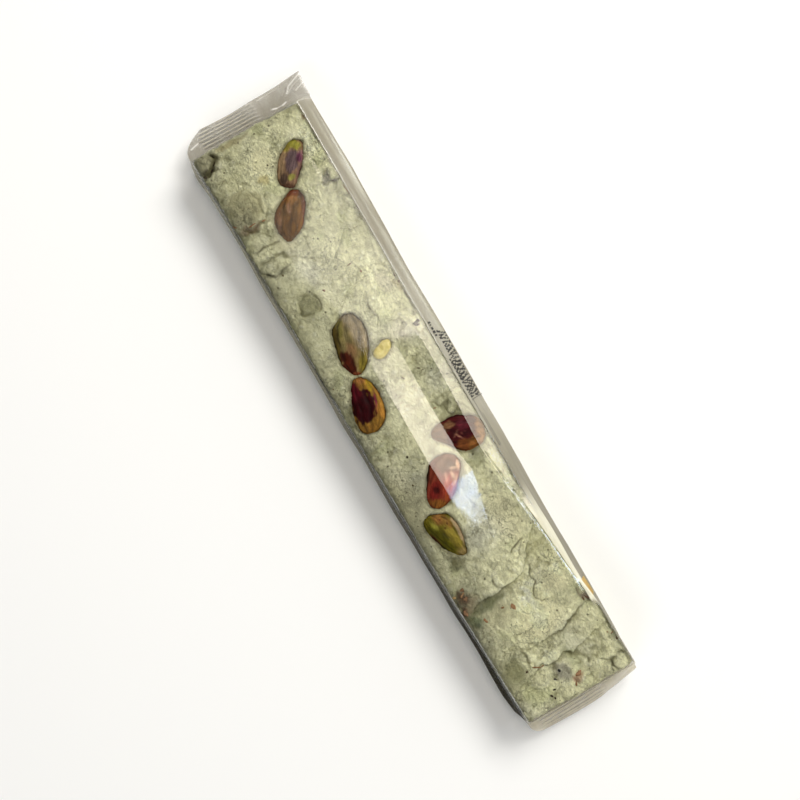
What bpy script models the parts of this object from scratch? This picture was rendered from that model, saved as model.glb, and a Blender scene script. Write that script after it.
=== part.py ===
"""A nougat bar with pistachios, sealed in a clear flow-wrap film, lying on its back.

+X runs along the bar from its head to its foot, +Y across it and +Z up. The origin is under the middle
of the pack, on the surface that it lies on. The film hugs the slab on its top and one side, and hangs
loose beside it on the other. Film and slab are one solid, the pack, and each nut sits in a socket in it
that is open at the top. Sizes are millimetres; MM turns them into Blender's metres.
"""
import math

import bmesh
import bpy
from mathutils import Matrix, Vector

MM = 0.001

# The slab of nougat inside the film. It lies slightly askew in the wider tube of film.
SLAB_LENGTH = 198.8
SLAB_WIDTH = 36.7
SLAB_TOP = 15.4
SLAB_CENTRE_X = 1.0
SLAB_CENTRE_Y = -0.35
SLAB_SKEW = math.radians(0.95)

# The film tube: its widest outline on each side, at the head and at the foot, and how high that is.
TUBE_LEFT_HEAD = -21.3
TUBE_LEFT_FOOT = -20.3
TUBE_RIGHT_HEAD = 21.1
TUBE_RIGHT_FOOT = 20.6
WIDEST_AT = 0.5
TOP_CORNER = 1.1
SIDE_CORNER = 4.0
BASE_CORNER = 1.6
BASE_INSET = 1.2
LONGEST_CUT = 0.45

# The two crimped fins that close the ends.
FIN_THICKNESS = 0.9
FIN_HEIGHT = 7.2
FIN_LENGTH_HEAD = 8.6
FIN_LENGTH_FOOT = 7.9
FIN_ROOT = 1.4
FIN_BEND_RADIUS = 5.0
FIN_BEND = math.radians(76.0)
HEAD_DROOP = 0.9
CRIMP_PITCH = 1.2
CRIMP_DEPTH = 0.16

# How the corners of the pack's plan are cut: the sideways inset of each corner, and how far in it starts.
HEAD_LEFT_CUT = (7.2, 8.6)
HEAD_RIGHT_CUT = (-0.6, 6.0)
FOOT_LEFT_CUT = (4.6, 11.0)
FOOT_RIGHT_CUT = (0.4, 3.0)
HEAD_CORNER_BULGE = 1.0
HEAD_CORNER_X = -94.5
HEAD_CORNER_REACH = 4.5
HEAD_EDGE_HOLLOW = 0.9
FOOT_EDGE_SLANT = 3.4

# Broad swells of the top face: x, y, radius and height. They fade out down the sides, from SWELL_FADE of
# the slab's height.
TOP_SWELLS = (
    (-92.0, -16.0, 9.0, 0.25),
    (-77.0, -14.0, 10.0, -0.35),
    (-53.0, 6.0, 14.0, 0.15),
    (-47.0, -14.0, 8.0, -0.20),
    (2.0, 8.0, 12.0, -0.20),
    (57.0, 3.0, 11.0, 0.20),
    (69.0, -9.0, 9.0, -0.40),
    (91.0, 0.0, 9.0, 0.20),
)
SWELL_FADE = 0.8

# Mesh counts.
CORNER_POINTS = 4
TOP_POINTS = 7
BODY_STATIONS = 34
ROOT_STATIONS = 4

# Pistachio kernels: name, x, y, length, width and the direction of the tip from +X.
KERNELS = (
    ("pistachio_1", -82.5, 5.7, 15.0, 8.8, -37.0),
    ("pistachio_2", -69.0, -2.4, 16.8, 10.2, 150.5),
    ("pistachio_3", -26.2, -6.2, 18.8, 11.6, -19.0),
    ("pistachio_4", -7.8, -11.5, 16.8, 10.4, 168.0),
    ("pistachio_5", 14.0, 9.2, 15.6, 11.0, -107.0),
    ("pistachio_6", 23.6, -2.5, 15.2, 10.4, -39.0),
    ("pistachio_7", 38.6, -10.3, 16.2, 9.8, 11.7),
)
KERNEL_HEIGHT = 8.6
KERNEL_TOP = 15.5
# A kernel narrows by this share of its girth from its blunt end to its tip, and is widest here along it.
KERNEL_TAPER = 0.30
KERNEL_WIDEST = 0.4
# Under 1 this makes a kernel boxier than an egg.
KERNEL_BLUNTNESS = 0.82
PALE_PIECE = ("pale_nut_piece", -20.2, 1.4, 6.9, 4.1, 111.0)
PALE_HEIGHT = 3.6
KERNEL_SIDES = 16
KERNEL_RINGS = 10

# The gap round a nut in its socket, and the level that a socket's cutter reaches up to.
SOCKET_GAP = 0.3
CUTTER_TOP = 20.0

NOUGAT_COLOUR = (0.56, 0.57, 0.40)
NOUGAT_ROUGHNESS = 0.6
KERNEL_ROUGHNESS = 0.45
KERNEL_COLOURS = {
    "pistachio_1": (0.18, 0.11, 0.11),
    "pistachio_2": (0.20, 0.10, 0.05),
    "pistachio_3": (0.20, 0.14, 0.07),
    "pistachio_4": (0.16, 0.03, 0.03),
    "pistachio_5": (0.16, 0.04, 0.04),
    "pistachio_6": (0.30, 0.07, 0.06),
    "pistachio_7": (0.30, 0.28, 0.05),
    "pale_nut_piece": (0.72, 0.66, 0.36),
}


def clear_scene():
    """Remove every object in the file."""
    for old in list(bpy.data.objects):
        bpy.data.objects.remove(old, do_unlink=True)


def new_collection(name):
    """A collection under the scene's own."""
    group = bpy.data.collections.new(name)
    bpy.context.scene.collection.children.link(group)
    return group


def plain_material(name, colour, roughness):
    """A Principled material of one colour."""
    material = bpy.data.materials.new(name)
    material.use_nodes = True
    shader = material.node_tree.nodes["Principled BSDF"]
    shader.inputs["Base Color"].default_value = (*colour, 1.0)
    shader.inputs["Roughness"].default_value = roughness
    shader.inputs["Metallic"].default_value = 0.0
    return material


def add_object(name, builder, group, material=None):
    """Turn a bmesh into an object in a collection."""
    mesh = bpy.data.meshes.new(name)
    builder.to_mesh(mesh)
    builder.free()
    piece = bpy.data.objects.new(name, mesh)
    group.objects.link(piece)
    if material is not None:
        mesh.materials.append(material)
    return piece


def blend(a, b, share):
    """The value a share of the way from a to b."""
    return a + (b - a) * share


def ease(share):
    """A smooth step from 0 to 1."""
    share = min(max(share, 0.0), 1.0)
    return share * share * (3.0 - 2.0 * share)


HEAD_FACE = SLAB_CENTRE_X - SLAB_LENGTH / 2
FOOT_FACE = SLAB_CENTRE_X + SLAB_LENGTH / 2


def slab_edges(x):
    """The slab's left and right side at x."""
    middle = SLAB_CENTRE_Y + math.tan(SLAB_SKEW) * (x - SLAB_CENTRE_X)
    return middle - SLAB_WIDTH / 2, middle + SLAB_WIDTH / 2


def tube_edges(x, out):
    """The film's widest outline at x. out is how far a fin station is past the slab's end face."""
    share = (x - HEAD_FACE) / SLAB_LENGTH
    left = blend(TUBE_LEFT_HEAD, TUBE_LEFT_FOOT, share)
    right = blend(TUBE_RIGHT_HEAD, TUBE_RIGHT_FOOT, share)
    left -= HEAD_CORNER_BULGE * math.exp(-(((x - HEAD_CORNER_X) / HEAD_CORNER_REACH) ** 2))
    at_head = share < 0.5
    left_cut, left_start = HEAD_LEFT_CUT if at_head else FOOT_LEFT_CUT
    right_cut, right_start = HEAD_RIGHT_CUT if at_head else FOOT_RIGHT_CUT
    fin = FIN_LENGTH_HEAD if at_head else FIN_LENGTH_FOOT
    to_tip = fin - out
    left += left_cut * max(0.0, 1.0 - to_tip / left_start) ** 2
    right -= right_cut * max(0.0, 1.0 - to_tip / right_start) ** 2
    return left, right


def swell(x, y):
    """How far the top face stands above its plain level."""
    return sum(
        height * math.exp(-((x - at_x) ** 2 + (y - at_y) ** 2) / radius**2)
        for at_x, at_y, radius, height in TOP_SWELLS
    )


def rounded_corner(before, corner, after, radius):
    """Points of a curve that cuts a corner of the ring short."""
    arm_in = before - corner
    arm_out = after - corner
    start = corner + arm_in.normalized() * min(radius, arm_in.length * LONGEST_CUT)
    end = corner + arm_out.normalized() * min(radius, arm_out.length * LONGEST_CUT)
    points = []
    for step in range(CORNER_POINTS):
        share = step / (CORNER_POINTS - 1)
        points.append(start.lerp(corner, share).lerp(corner.lerp(end, share), share))
    return points


def ring_of(corners, radii):
    """A closed ring of (y, height) points round six corners, with extra points along the top."""
    count = len(corners)
    ring = []
    for index, corner in enumerate(corners):
        before = corners[index - 1]
        after = corners[(index + 1) % count]
        ring.extend(rounded_corner(before, corner, after, radii[index]))
        if index == 3:
            start = ring[-1]
            end = rounded_corner(corner, after, corners[(index + 2) % count], radii[index + 1])[0]
            for step in range(1, TOP_POINTS + 1):
                ring.append(start.lerp(end, step / (TOP_POINTS + 1)))
    return ring


def section(x, squeeze, out):
    """The film's cross-section at x: squeeze is 0 on the slab and 1 in a fin, in (y, height) points."""
    slab_left, slab_right = slab_edges(x)
    left, right = tube_edges(x, out)
    thin = FIN_THICKNESS / 2
    low = blend(0.0, FIN_HEIGHT - thin, squeeze)
    high = blend(SLAB_TOP, FIN_HEIGHT + thin, squeeze)
    middle = blend(SLAB_TOP * WIDEST_AT, FIN_HEIGHT, squeeze)
    top_left = blend(slab_left, left + thin, squeeze)
    top_right = blend(slab_right, right - thin, squeeze)
    base_left = blend(slab_left + BASE_INSET, left + thin, squeeze)
    base_right = blend(slab_right - BASE_INSET, right - thin, squeeze)
    corners = [
        Vector((base_right, low)),
        Vector((base_left, low)),
        Vector((left, middle)),
        Vector((top_left, high)),
        Vector((top_right, high)),
        Vector((right, middle)),
    ]
    radii = [BASE_CORNER, BASE_CORNER, SIDE_CORNER, TOP_CORNER, TOP_CORNER, SIDE_CORNER]
    return ring_of(corners, radii)


def body_ring(x):
    """A ring on the slab, with the top face's swells."""
    ring = []
    for y, height in section(x, 0.0, 0.0):
        share = ease((height / SLAB_TOP - SWELL_FADE) / (1.0 - SWELL_FADE))
        ring.append(Vector((x, y, height + swell(x, y) * share)))
    return ring


def fin_ring(at_head, out, squeeze, crimp):
    """A ring past an end face, out millimetres along the fin, which droops or bends down as it goes."""
    face, side = (HEAD_FACE, -1.0) if at_head else (FOOT_FACE, 1.0)
    fin = FIN_LENGTH_HEAD if at_head else FIN_LENGTH_FOOT
    along = out
    drop = 0.0
    tilt = 0.0
    if at_head:
        drop = HEAD_DROOP * (out / fin) ** 2
    elif out > FIN_ROOT:
        arc = min((out - FIN_ROOT) / FIN_BEND_RADIUS, FIN_BEND)
        rest = out - FIN_ROOT - arc * FIN_BEND_RADIUS
        tilt = arc
        along = FIN_ROOT + FIN_BEND_RADIUS * math.sin(arc) + rest * math.cos(arc)
        drop = FIN_BEND_RADIUS * (1.0 - math.cos(arc)) + rest * math.sin(arc)
    ring = []
    for y, height in section(face + side * out, squeeze, out):
        above = height - FIN_HEIGHT + crimp
        if at_head:
            trim = -HEAD_EDGE_HOLLOW * (1.0 - (y / TUBE_RIGHT_HEAD) ** 2)
        else:
            trim = -FOOT_EDGE_SLANT * max(0.0, y / TUBE_RIGHT_FOOT) ** 2
        x = face + side * (along + trim * (out / fin) ** 2 + above * math.sin(tilt))
        ring.append(Vector((x, y, FIN_HEIGHT - drop + above * math.cos(tilt))))
    return ring


def end_rings(at_head):
    """All rings past one end face, from the face outwards."""
    rings = []
    for step in range(1, ROOT_STATIONS + 1):
        share = step / ROOT_STATIONS
        rings.append(fin_ring(at_head, FIN_ROOT * share, ease(share), 0.0))
    fin = FIN_LENGTH_HEAD if at_head else FIN_LENGTH_FOOT
    waves = int((fin - FIN_ROOT) / (CRIMP_PITCH / 2))
    for step in range(1, waves + 1):
        out = FIN_ROOT + (fin - FIN_ROOT) * step / waves
        crimp = CRIMP_DEPTH if step % 2 else -CRIMP_DEPTH
        rings.append(fin_ring(at_head, out, 1.0, crimp if step < waves else 0.0))
    return rings


def loft(rings):
    """A closed solid through rings of equal count, in order."""
    builder = bmesh.new()
    rows = [[builder.verts.new(point * MM) for point in ring] for ring in rings]
    count = len(rows[0])
    for row, following in zip(rows, rows[1:]):
        for index in range(count):
            after = (index + 1) % count
            builder.faces.new((row[index], row[after], following[after], following[index]))
    caps = [builder.faces.new(list(reversed(rows[0]))), builder.faces.new(rows[-1])]
    bmesh.ops.triangulate(builder, faces=caps)
    bmesh.ops.recalc_face_normals(builder, faces=builder.faces)
    return builder


def build_pack(group):
    """The slab in its film, from the head fin's tip to the foot fin's tip."""
    head = list(reversed(end_rings(True)))
    body = [
        body_ring(blend(HEAD_FACE, FOOT_FACE, step / (BODY_STATIONS - 1)))
        for step in range(BODY_STATIONS)
    ]
    builder = loft(head + body + end_rings(False))
    nougat = plain_material("nougat", NOUGAT_COLOUR, NOUGAT_ROUGHNESS)
    return add_object("wrapped_slab", builder, group, nougat)


def kernel_shape(length, width, height):
    """A nut kernel's mesh along X with its tip at +X: an egg with one end drawn out."""
    builder = bmesh.new()
    bmesh.ops.create_uvsphere(
        builder,
        u_segments=KERNEL_SIDES,
        v_segments=KERNEL_RINGS,
        radius=1.0,
        matrix=Matrix.Rotation(math.radians(90.0), 4, "Y"),
    )
    for vert in builder.verts:
        along = (vert.co.x + 1.0) / 2.0
        taper = (1.0 - KERNEL_TAPER * along) / (1.0 - KERNEL_TAPER * KERNEL_WIDEST)
        vert.co.y = math.copysign(abs(vert.co.y) ** KERNEL_BLUNTNESS, vert.co.y) * taper
        vert.co.z = math.copysign(abs(vert.co.z) ** KERNEL_BLUNTNESS, vert.co.z) * taper
    reach = Vector((length / 2, width / 2, height / 2))
    bmesh.ops.scale(builder, vec=reach * MM, verts=builder.verts)
    return builder


def place_kernel(builder, x, y, height, turn, top):
    """Turn a kernel's mesh to its direction and set it down with its top at a level."""
    place = Matrix.Translation(Vector((x, y, top - height / 2)) * MM)
    bmesh.ops.transform(
        builder,
        matrix=place @ Matrix.Rotation(math.radians(turn), 4, "Z"),
        verts=builder.verts,
    )


def socket_shape(length, width, height):
    """A socket's cutter: the kernel grown by the gap, with all above its waist drawn straight up."""
    builder = kernel_shape(length + 2 * SOCKET_GAP, width + 2 * SOCKET_GAP, height + 2 * SOCKET_GAP)
    first_side = math.cos(math.tau / KERNEL_SIDES) ** KERNEL_BLUNTNESS
    for vert in builder.verts:
        if vert.co.z > SOCKET_GAP * MM:
            vert.co.y /= first_side
            vert.co.z = (CUTTER_TOP - KERNEL_TOP + height / 2) * MM
    return builder


def build_kernels(group, cutters, pack):
    """Every nut, each with the socket that is cut for it in the pack."""
    rows = [(*row, KERNEL_HEIGHT) for row in KERNELS] + [(*PALE_PIECE, PALE_HEIGHT)]
    for name, x, y, length, width, turn, height in rows:
        builder = kernel_shape(length, width, height)
        place_kernel(builder, x, y, height, turn, KERNEL_TOP)
        material = plain_material(name + "_skin", KERNEL_COLOURS[name], KERNEL_ROUGHNESS)
        nut = add_object(name, builder, group, material)
        nut.data.shade_smooth()
        hollow = socket_shape(length, width, height)
        place_kernel(hollow, x, y, height, turn, KERNEL_TOP)
        cutter = add_object(name + "_socket", hollow, cutters)
        cutter.hide_render = True
        cutter.display_type = "WIRE"
        cut = pack.modifiers.new(name + "_socket", "BOOLEAN")
        cut.operation = "DIFFERENCE"
        cut.object = cutter


clear_scene()
parts = new_collection("nougat_bar")
sockets = new_collection("cutters")
wrapped_slab = build_pack(parts)
build_kernels(parts, sockets, wrapped_slab)
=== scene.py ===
import itertools
import math

import bpy
import numpy as np
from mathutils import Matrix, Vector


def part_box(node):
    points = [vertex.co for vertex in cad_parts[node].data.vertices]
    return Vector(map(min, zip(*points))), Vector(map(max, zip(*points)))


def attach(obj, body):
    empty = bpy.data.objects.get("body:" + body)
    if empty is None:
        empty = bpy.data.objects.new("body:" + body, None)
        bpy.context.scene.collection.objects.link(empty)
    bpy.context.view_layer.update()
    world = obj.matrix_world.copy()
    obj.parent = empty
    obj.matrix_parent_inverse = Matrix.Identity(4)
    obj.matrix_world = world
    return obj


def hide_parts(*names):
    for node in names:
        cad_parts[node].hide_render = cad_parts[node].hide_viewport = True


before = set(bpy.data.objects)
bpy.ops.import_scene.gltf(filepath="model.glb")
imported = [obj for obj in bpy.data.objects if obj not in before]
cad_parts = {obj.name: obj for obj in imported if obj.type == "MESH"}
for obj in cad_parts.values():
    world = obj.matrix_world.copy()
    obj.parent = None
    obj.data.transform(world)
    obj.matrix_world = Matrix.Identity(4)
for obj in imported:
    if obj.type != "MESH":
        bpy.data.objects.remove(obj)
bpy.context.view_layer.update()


# ---- The slab of nougat --------------------------------------------------------------------------
# Whipped egg-white nougat coloured pale green by ground pistachio. The block is sawn from a tray, so
# its sides are plain and its top is torn: flakes, ledges, cracks and pores, and a socket at each nut.
# All sizes here are millimetres, and MM turns them into metres.
MM = 0.001
pack_low, pack_high = (np.array(corner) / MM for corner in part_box("wrapped_slab"))
HEAD_FIN_REACH = 8.6
FOOT_FIN_REACH = 6.65
head_face = pack_low[0] + HEAD_FIN_REACH
foot_face = pack_high[0] - FOOT_FIN_REACH
# Where the slab's left and right edges run, at places along: it lies a little askew and bent.
EDGE_PLACES = (-98.4, -60, 0, 36, 50, 70, 80, 100.4)
LEFT_EDGE = (-20.3, -19.5, -19.3, -18.9, -18.7, -18.2, -17.8, -17.2)
RIGHT_EDGE = (16.2, 16.3, 16.4, 16.7, 17.3, 17.9, 19.3, 19.7)
SLAB_LEVELS = (0.3, 14.75)
SLAB_EDGE_RADIUS = 1.25
SLAB_CEILING = 15.3
GRID_SPACING = 0.36
SLAB_TRIANGLES = 190000
SOCKET_DEPTH = 8.6
PALE_SOCKET_DEPTH = 2.4

# A nut's place is read from its solid. Here are its length, width and the heading of its tip, how far
# its middle lies from its solid's middle, then its outline in half lengths and half widths: how far its
# two ends reach and how far to the side they lie, and its left and right edge at seven stations.
KERNEL_SIZES = {
    "pistachio_1": (15, 8.8, -37, (0.16, -0.31)),
    "pistachio_2": (16.8, 10.2, 150.5, (-0.16, 0.40)),
    "pistachio_3": (18.8, 11.6, -19, (0.12, -0.46)),
    "pistachio_4": (16.8, 10.4, 168, (-0.03, 0.29)),
    "pistachio_5": (15.6, 11, -107, (-0.37, -0.10)),
    "pistachio_6": (15.2, 10.4, -39, (0.25, -0.36)),
    "pistachio_7": (16.2, 9.8, 11.7, (0.02, 0.28)),
    "pale_nut_piece": (6.9, 4.1, 111, (-0.16, 0.05)),
}
OUTLINE_STATIONS = np.array((-0.9, -0.6, -0.3, 0.0, 0.3, 0.6, 0.9))
KERNEL_OUTLINES = {
    "pistachio_1": (-1.03, 1.02, 0.05, 0, (0.52, 0.62, 0.70, 0.70, 0.62, 0.52, 0.40),
                    (-0.49, -0.80, -1.03, -1.12, -1.11, -1.04, -0.74)),
    "pistachio_2": (-0.98, 0.99, 0.24, -0.12, (0.46, 0.90, 1.11, 1.10, 0.92, 0.62, 0.19),
                    (-0.03, -0.50, -0.75, -0.81, -0.87, -0.84, -0.52)),
    "pistachio_3": (-1.04, 1.04, 0.05, 0, (0.50, 0.84, 0.97, 0.98, 0.89, 0.76, 0.41),
                    (-0.43, -0.94, -0.98, -0.96, -0.90, -0.79, -0.43)),
    "pistachio_4": (-1.04, 1.10, 0.2, 0.06, (0.78, 0.96, 1, 0.95, 0.84, 0.72, 0.53),
                    (-0.43, -0.88, -1, -1.02, -0.95, -0.80, -0.53)),
    "pistachio_5": (-0.95, 1.20, 0, -0.25, (0.42, 0.85, 1.01, 1.04, 0.85, 0.54, 0.26),
                    (-0.40, -0.88, -0.99, -1.10, -1.08, -0.95, -0.80)),
    "pistachio_6": (-1.12, 1.22, 0.1, -0.32, (0.73, 0.88, 0.89, 0.86, 0.83, 0.70, 0.49),
                    (-0.66, -1.05, -1.09, -1.08, -1.05, -1.01, -0.85)),
    "pistachio_7": (-1.03, 1.03, -0.18, 0.13, (0.36, 0.99, 1.09, 1.06, 0.92, 0.69, 0.42),
                    (-0.63, -0.84, -0.83, -0.78, -0.72, -0.55, -0.24)),
    "pale_nut_piece": (-1.14, 1.02, 0, 0.1, (0.88, 1.08, 1.16, 1.08, 1.12, 1, 0.59),
                       (-0.72, -1, -1.13, -1.09, -1, -0.80, -0.31)),
}


def slab_edges(x):
    """The slab's left and right edges at x."""
    return np.interp(x, EDGE_PLACES, LEFT_EDGE), np.interp(x, EDGE_PLACES, RIGHT_EDGE)


def scramble(cells, seed):
    """A repeatable 32-bit number for each cell of an endless grid."""
    spread = np.array((73856093, 19349663, 83492791), dtype=np.int64)
    mixed = (cells * spread).sum(-1) ^ (seed * 2654435761)
    mixed = (mixed & 0xFFFFFFFF).astype(np.uint32)
    mixed ^= mixed >> np.uint32(15)
    mixed *= np.uint32(0x2C1B3C6D)
    mixed ^= mixed >> np.uint32(12)
    mixed *= np.uint32(0x297A2D39)
    mixed ^= mixed >> np.uint32(15)
    return mixed


def noise(points, size, seed):
    """Smooth noise from about -1 to 1 whose humps are about this size."""
    place = points / size
    cell = np.floor(place).astype(np.int64)
    part = place - cell
    smooth = part**3 * (part * (part * 6.0 - 15.0) + 10.0)
    total = np.zeros(len(points))
    for corner in itertools.product((0, 1), repeat=3):
        number = scramble(cell + np.array(corner), seed)
        slope = [((number >> np.uint32(bit)) & np.uint32(1023)) / 511.5 - 1.0 for bit in (0, 10, 20)]
        away = part - np.array(corner)
        weight = np.prod(np.where(np.array(corner) == 1, smooth, 1.0 - smooth), axis=-1)
        total += weight * sum(slope[axis] * away[:, axis] for axis in range(3))
    return np.clip(total * 1.5, -1.0, 1.0)


def cells(points, size, seed):
    """Scattered cells about this size: how much further the next one is than the nearest, and a number
    from 0 to 1 that belongs to the nearest."""
    place = points / size
    home = np.floor(place).astype(np.int64)
    nearest = np.full(len(points), 9.0)
    second = np.full(len(points), 9.0)
    owner = np.zeros(len(points), dtype=np.uint32)
    for step in itertools.product((-1, 0, 1), repeat=3):
        cell = home + np.array(step)
        number = scramble(cell, seed)
        spot = np.stack([((number >> np.uint32(bit)) & np.uint32(1023)) / 1023.0 for bit in (0, 10, 20)], -1)
        far = np.linalg.norm(cell + spot - place, axis=-1)
        closer = far < nearest
        second = np.where(closer, nearest, np.minimum(second, far))
        owner = np.where(closer, number, owner)
        nearest = np.where(closer, far, nearest)
    return second * size - nearest * size, ((owner >> np.uint32(3)) & np.uint32(255)) / 255.0


def ease(values, low, high):
    """A smooth step from 0 at low to 1 at high."""
    share = np.clip((values - low) / (high - low), 0.0, 1.0)
    return share * share * (3.0 - 2.0 * share)


def fade(values, low, high):
    """A smooth step from 1 at low to 0 at high."""
    return 1.0 - ease(values, low, high)


def hump(values, width):
    """A smooth bump: 1 at 0, falling away to either side within about this width."""
    return np.exp(-((values / width) ** 2))


def linear(red, green, blue):
    """A colour given as 0 to 255 screen values, as light."""
    shares = np.array((red, green, blue)) / 255.0
    return np.where(shares <= 0.04045, shares / 12.92, ((shares + 0.055) / 1.055) ** 2.4)


def coat(points, colour):
    """One screen colour for every point."""
    return np.tile(linear(*colour), (len(points), 1))


def mix(colours, other, share):
    """Colours moved towards another screen colour by a share for each point."""
    return colours + (linear(*other) - colours) * share[:, None]


def along_and_across(x, y, centre, turn):
    """How far points lie from a centre, along and across an axis turned by this many degrees."""
    cosine, sine = math.cos(math.radians(turn)), math.sin(math.radians(turn))
    along = cosine * (x - centre[0]) + sine * (y - centre[1])
    across = cosine * (y - centre[1]) - sine * (x - centre[0])
    return along, across


def in_ellipse(x, y, spot):
    """Distance from a spot's centre, in its own radii. A spot is x, y, half length, half width, turn."""
    along, across = along_and_across(x, y, spot[:2], spot[4])
    return np.hypot(along / spot[2], across / spot[3])


def laid(points, centre, turn):
    """Points turned about the upright by this many degrees, then moved to a centre."""
    cosine, sine = math.cos(math.radians(turn)), math.sin(math.radians(turn))
    return np.stack([
        centre[0] + cosine * points[:, 0] - sine * points[:, 1],
        centre[1] + sine * points[:, 0] + cosine * points[:, 1],
        points[:, 2],
    ], -1)


def from_path(x, y, path):
    """Distance from a line of points, the side it is on (+1 is left of its run) and the share along it."""
    best = np.full(len(x), 1e9)
    side = np.ones(len(x))
    share = np.zeros(len(x))
    for index, (start, end) in enumerate(zip(path, path[1:])):
        run = np.subtract(end, start)
        along = ((x - start[0]) * run[0] + (y - start[1]) * run[1]) / (run @ run)
        held = np.clip(along, 0.0, 1.0)
        far = np.hypot(x - start[0] - held * run[0], y - start[1] - held * run[1])
        turn = np.sign(run[0] * (y - start[1]) - run[1] * (x - start[0]))
        closer = far < best
        best = np.where(closer, far, best)
        side = np.where(closer, turn, side)
        share = np.where(closer, (index + held) / (len(path) - 1), share)
    return best, side, share


def boxed_grid(size, spacing):
    """The points, 0 to 1 each way, and four-sided faces of a box's skin as an even grid facing outwards."""
    counts = [max(2, round(length / spacing)) for length in size]
    skin = np.ones([count + 1 for count in counts], dtype=bool)
    skin[1:-1, 1:-1, 1:-1] = False
    number = np.full(skin.shape, -1)
    number[skin] = np.arange(skin.sum())
    faces = []
    for axis, end in itertools.product(range(3), (0, -1)):
        sheet = np.take(number, end, axis=axis)
        corners = [sheet[:-1, :-1], sheet[1:, :-1], sheet[1:, 1:], sheet[:-1, 1:]]
        if (end == -1) == (axis == 1):
            corners.reverse()
        faces.append(np.stack([corner.ravel() for corner in corners], -1))
    return np.argwhere(skin) / np.array(counts), np.concatenate(faces)


def make_piece(name, points, faces, material):
    """A smooth-shaded mesh object from points in millimetres and faces."""
    mesh = bpy.data.meshes.new(name)
    mesh.from_pydata((points * MM).tolist(), [], [tuple(face) for face in faces])
    mesh.materials.append(material)
    mesh.shade_smooth()
    mesh.validate()
    piece = bpy.data.objects.new(name, mesh)
    bpy.context.scene.collection.objects.link(piece)
    return piece


def store_colour(piece, name, colours):
    """Keep a colour for each point of a piece, for its material to read."""
    kept = piece.data.attributes.new(name, "FLOAT_COLOR", "POINT")
    full = np.concatenate([colours, np.ones((len(colours), 1))], axis=1)
    kept.data.foreach_set("color", full.astype(np.float32).ravel())


def store_values(piece, name, kind, values):
    """Keep a value or a vector for each point of a piece, for its material or its nodes to read."""
    kept = piece.data.attributes.new(name, "FLOAT" if kind == "value" else "FLOAT_VECTOR", "POINT")
    kept.data.foreach_set(kind, values.astype(np.float32).ravel())


def kernel_place(name):
    """A nut's middle over the floor."""
    low, high = (np.array(corner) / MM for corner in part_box(name))
    return (low + high) / 2.0 + (*KERNEL_SIZES[name][3], 0.0)


def kernel_outline(share, name):
    """Where a nut's left and right edges are, in half widths, by the share from end (-1) to tip (1)."""
    start, end, start_side, end_side, left, right = KERNEL_OUTLINES[name]
    station_share = np.clip((2.0 * OUTLINE_STATIONS - start - end) / (end - start), -0.99, 0.99)
    station_spine = start_side + (end_side - start_side) * (station_share + 1.0) / 2.0
    station_bulge = np.sqrt(1.0 - station_share**2)
    spine = start_side + (end_side - start_side) * (share + 1.0) / 2.0
    bulge = np.sqrt(np.clip(1.0 - share**2, 0.0, 1.0))
    edges = []
    for edge in (left, right):
        edges.append(spine + bulge * np.interp(share, station_share, (edge - station_spine) / station_bulge))
    return edges


def off_kernel(x, y, name):
    """How far outside a nut's outline a point is, in millimetres; under 0 is inside."""
    centre = kernel_place(name)
    length, width, turn = KERNEL_SIZES[name][:3]
    start, end = KERNEL_OUTLINES[name][:2]
    along, across = along_and_across(x, y, centre, turn)
    along /= length / 2.0
    across /= width / 2.0
    share = (2.0 * along - start - end) / (end - start)
    left, right = kernel_outline(np.clip(share, -1.0, 1.0), name)
    beside = np.maximum(across - left, right - across) * width / 2.0
    beyond = (np.abs(share) - 1.0) * (end - start) * length / 4.0
    return np.where(beyond < 0.0, np.maximum(beside, beyond), np.hypot(np.maximum(beside, 0.0), beyond))


# Lines where the top is torn through: the points run along the crack, then its half width and depth.
CRACKS = (
    (((-98, -14.9), (-96.6, -14.2), (-95.7, -13.4)), 0.35, 1.1),
    (((-95.9, -13), (-95, -14.8), (-94.2, -15.6), (-93, -16.6), (-92.3, -18.2), (-92, -19.6)), 0.5, 1.4),
    (((-40.2, 15.8), (-37, 15.6), (-34.5, 16), (-26, 16.1)), 0.25, 0.5),
    (((-98.2, -14.6), (-95.7, -14.3), (-92.9, -17), (-92.2, -19.4)), 0.55, 1.6),
    (((-98.4, -15), (-96.4, -13.6), (-95, -13.2)), 0.3, 0.8),
    (((-64.4, -18.2), (-64.9, -13.5), (-64.2, -9.7)), 0.25, 0.5),
    (((-58.6, -19.2), (-55.3, -16.1), (-55.6, -14.1), (-56.9, -9.7)), 0.28, 0.7),
    (((52.8, 3.3), (51.4, 6.4), (50.7, 8.8)), 0.28, 0.8),
    (((50.6, 8.8), (56, 4.6)), 0.25, 0.3),
    (((58.6, 7), (61.4, 5.6), (64, 6.1), (66.4, 4), (68, 3.5), (70.1, 4.9), (70.7, 7.9)), 0.24, 0.6),
    (((55.8, -4.8), (58.3, -5.4), (60.7, -3.9)), 0.3, 0.45),
    (((79.5, -8.4), (82.6, -7.7), (85.8, -8.6)), 0.3, 0.7),
    (((80.4, 0.6), (80.8, 6), (78.6, 11), (76.5, 15.8)), 0.3, 0.4),
    (((95, 14.3), (97.6, 13.6), (100.2, 15.4)), 0.3, 0.6),
    (((-37.6, 5.2), (-33.8, 3.6), (-30, 4.6), (-27, 4.2)), 0.3, 0.45),
    (((-49, 5.6), (-45, 7), (-41.6, 4.2)), 0.25, 0.3),
)
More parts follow.
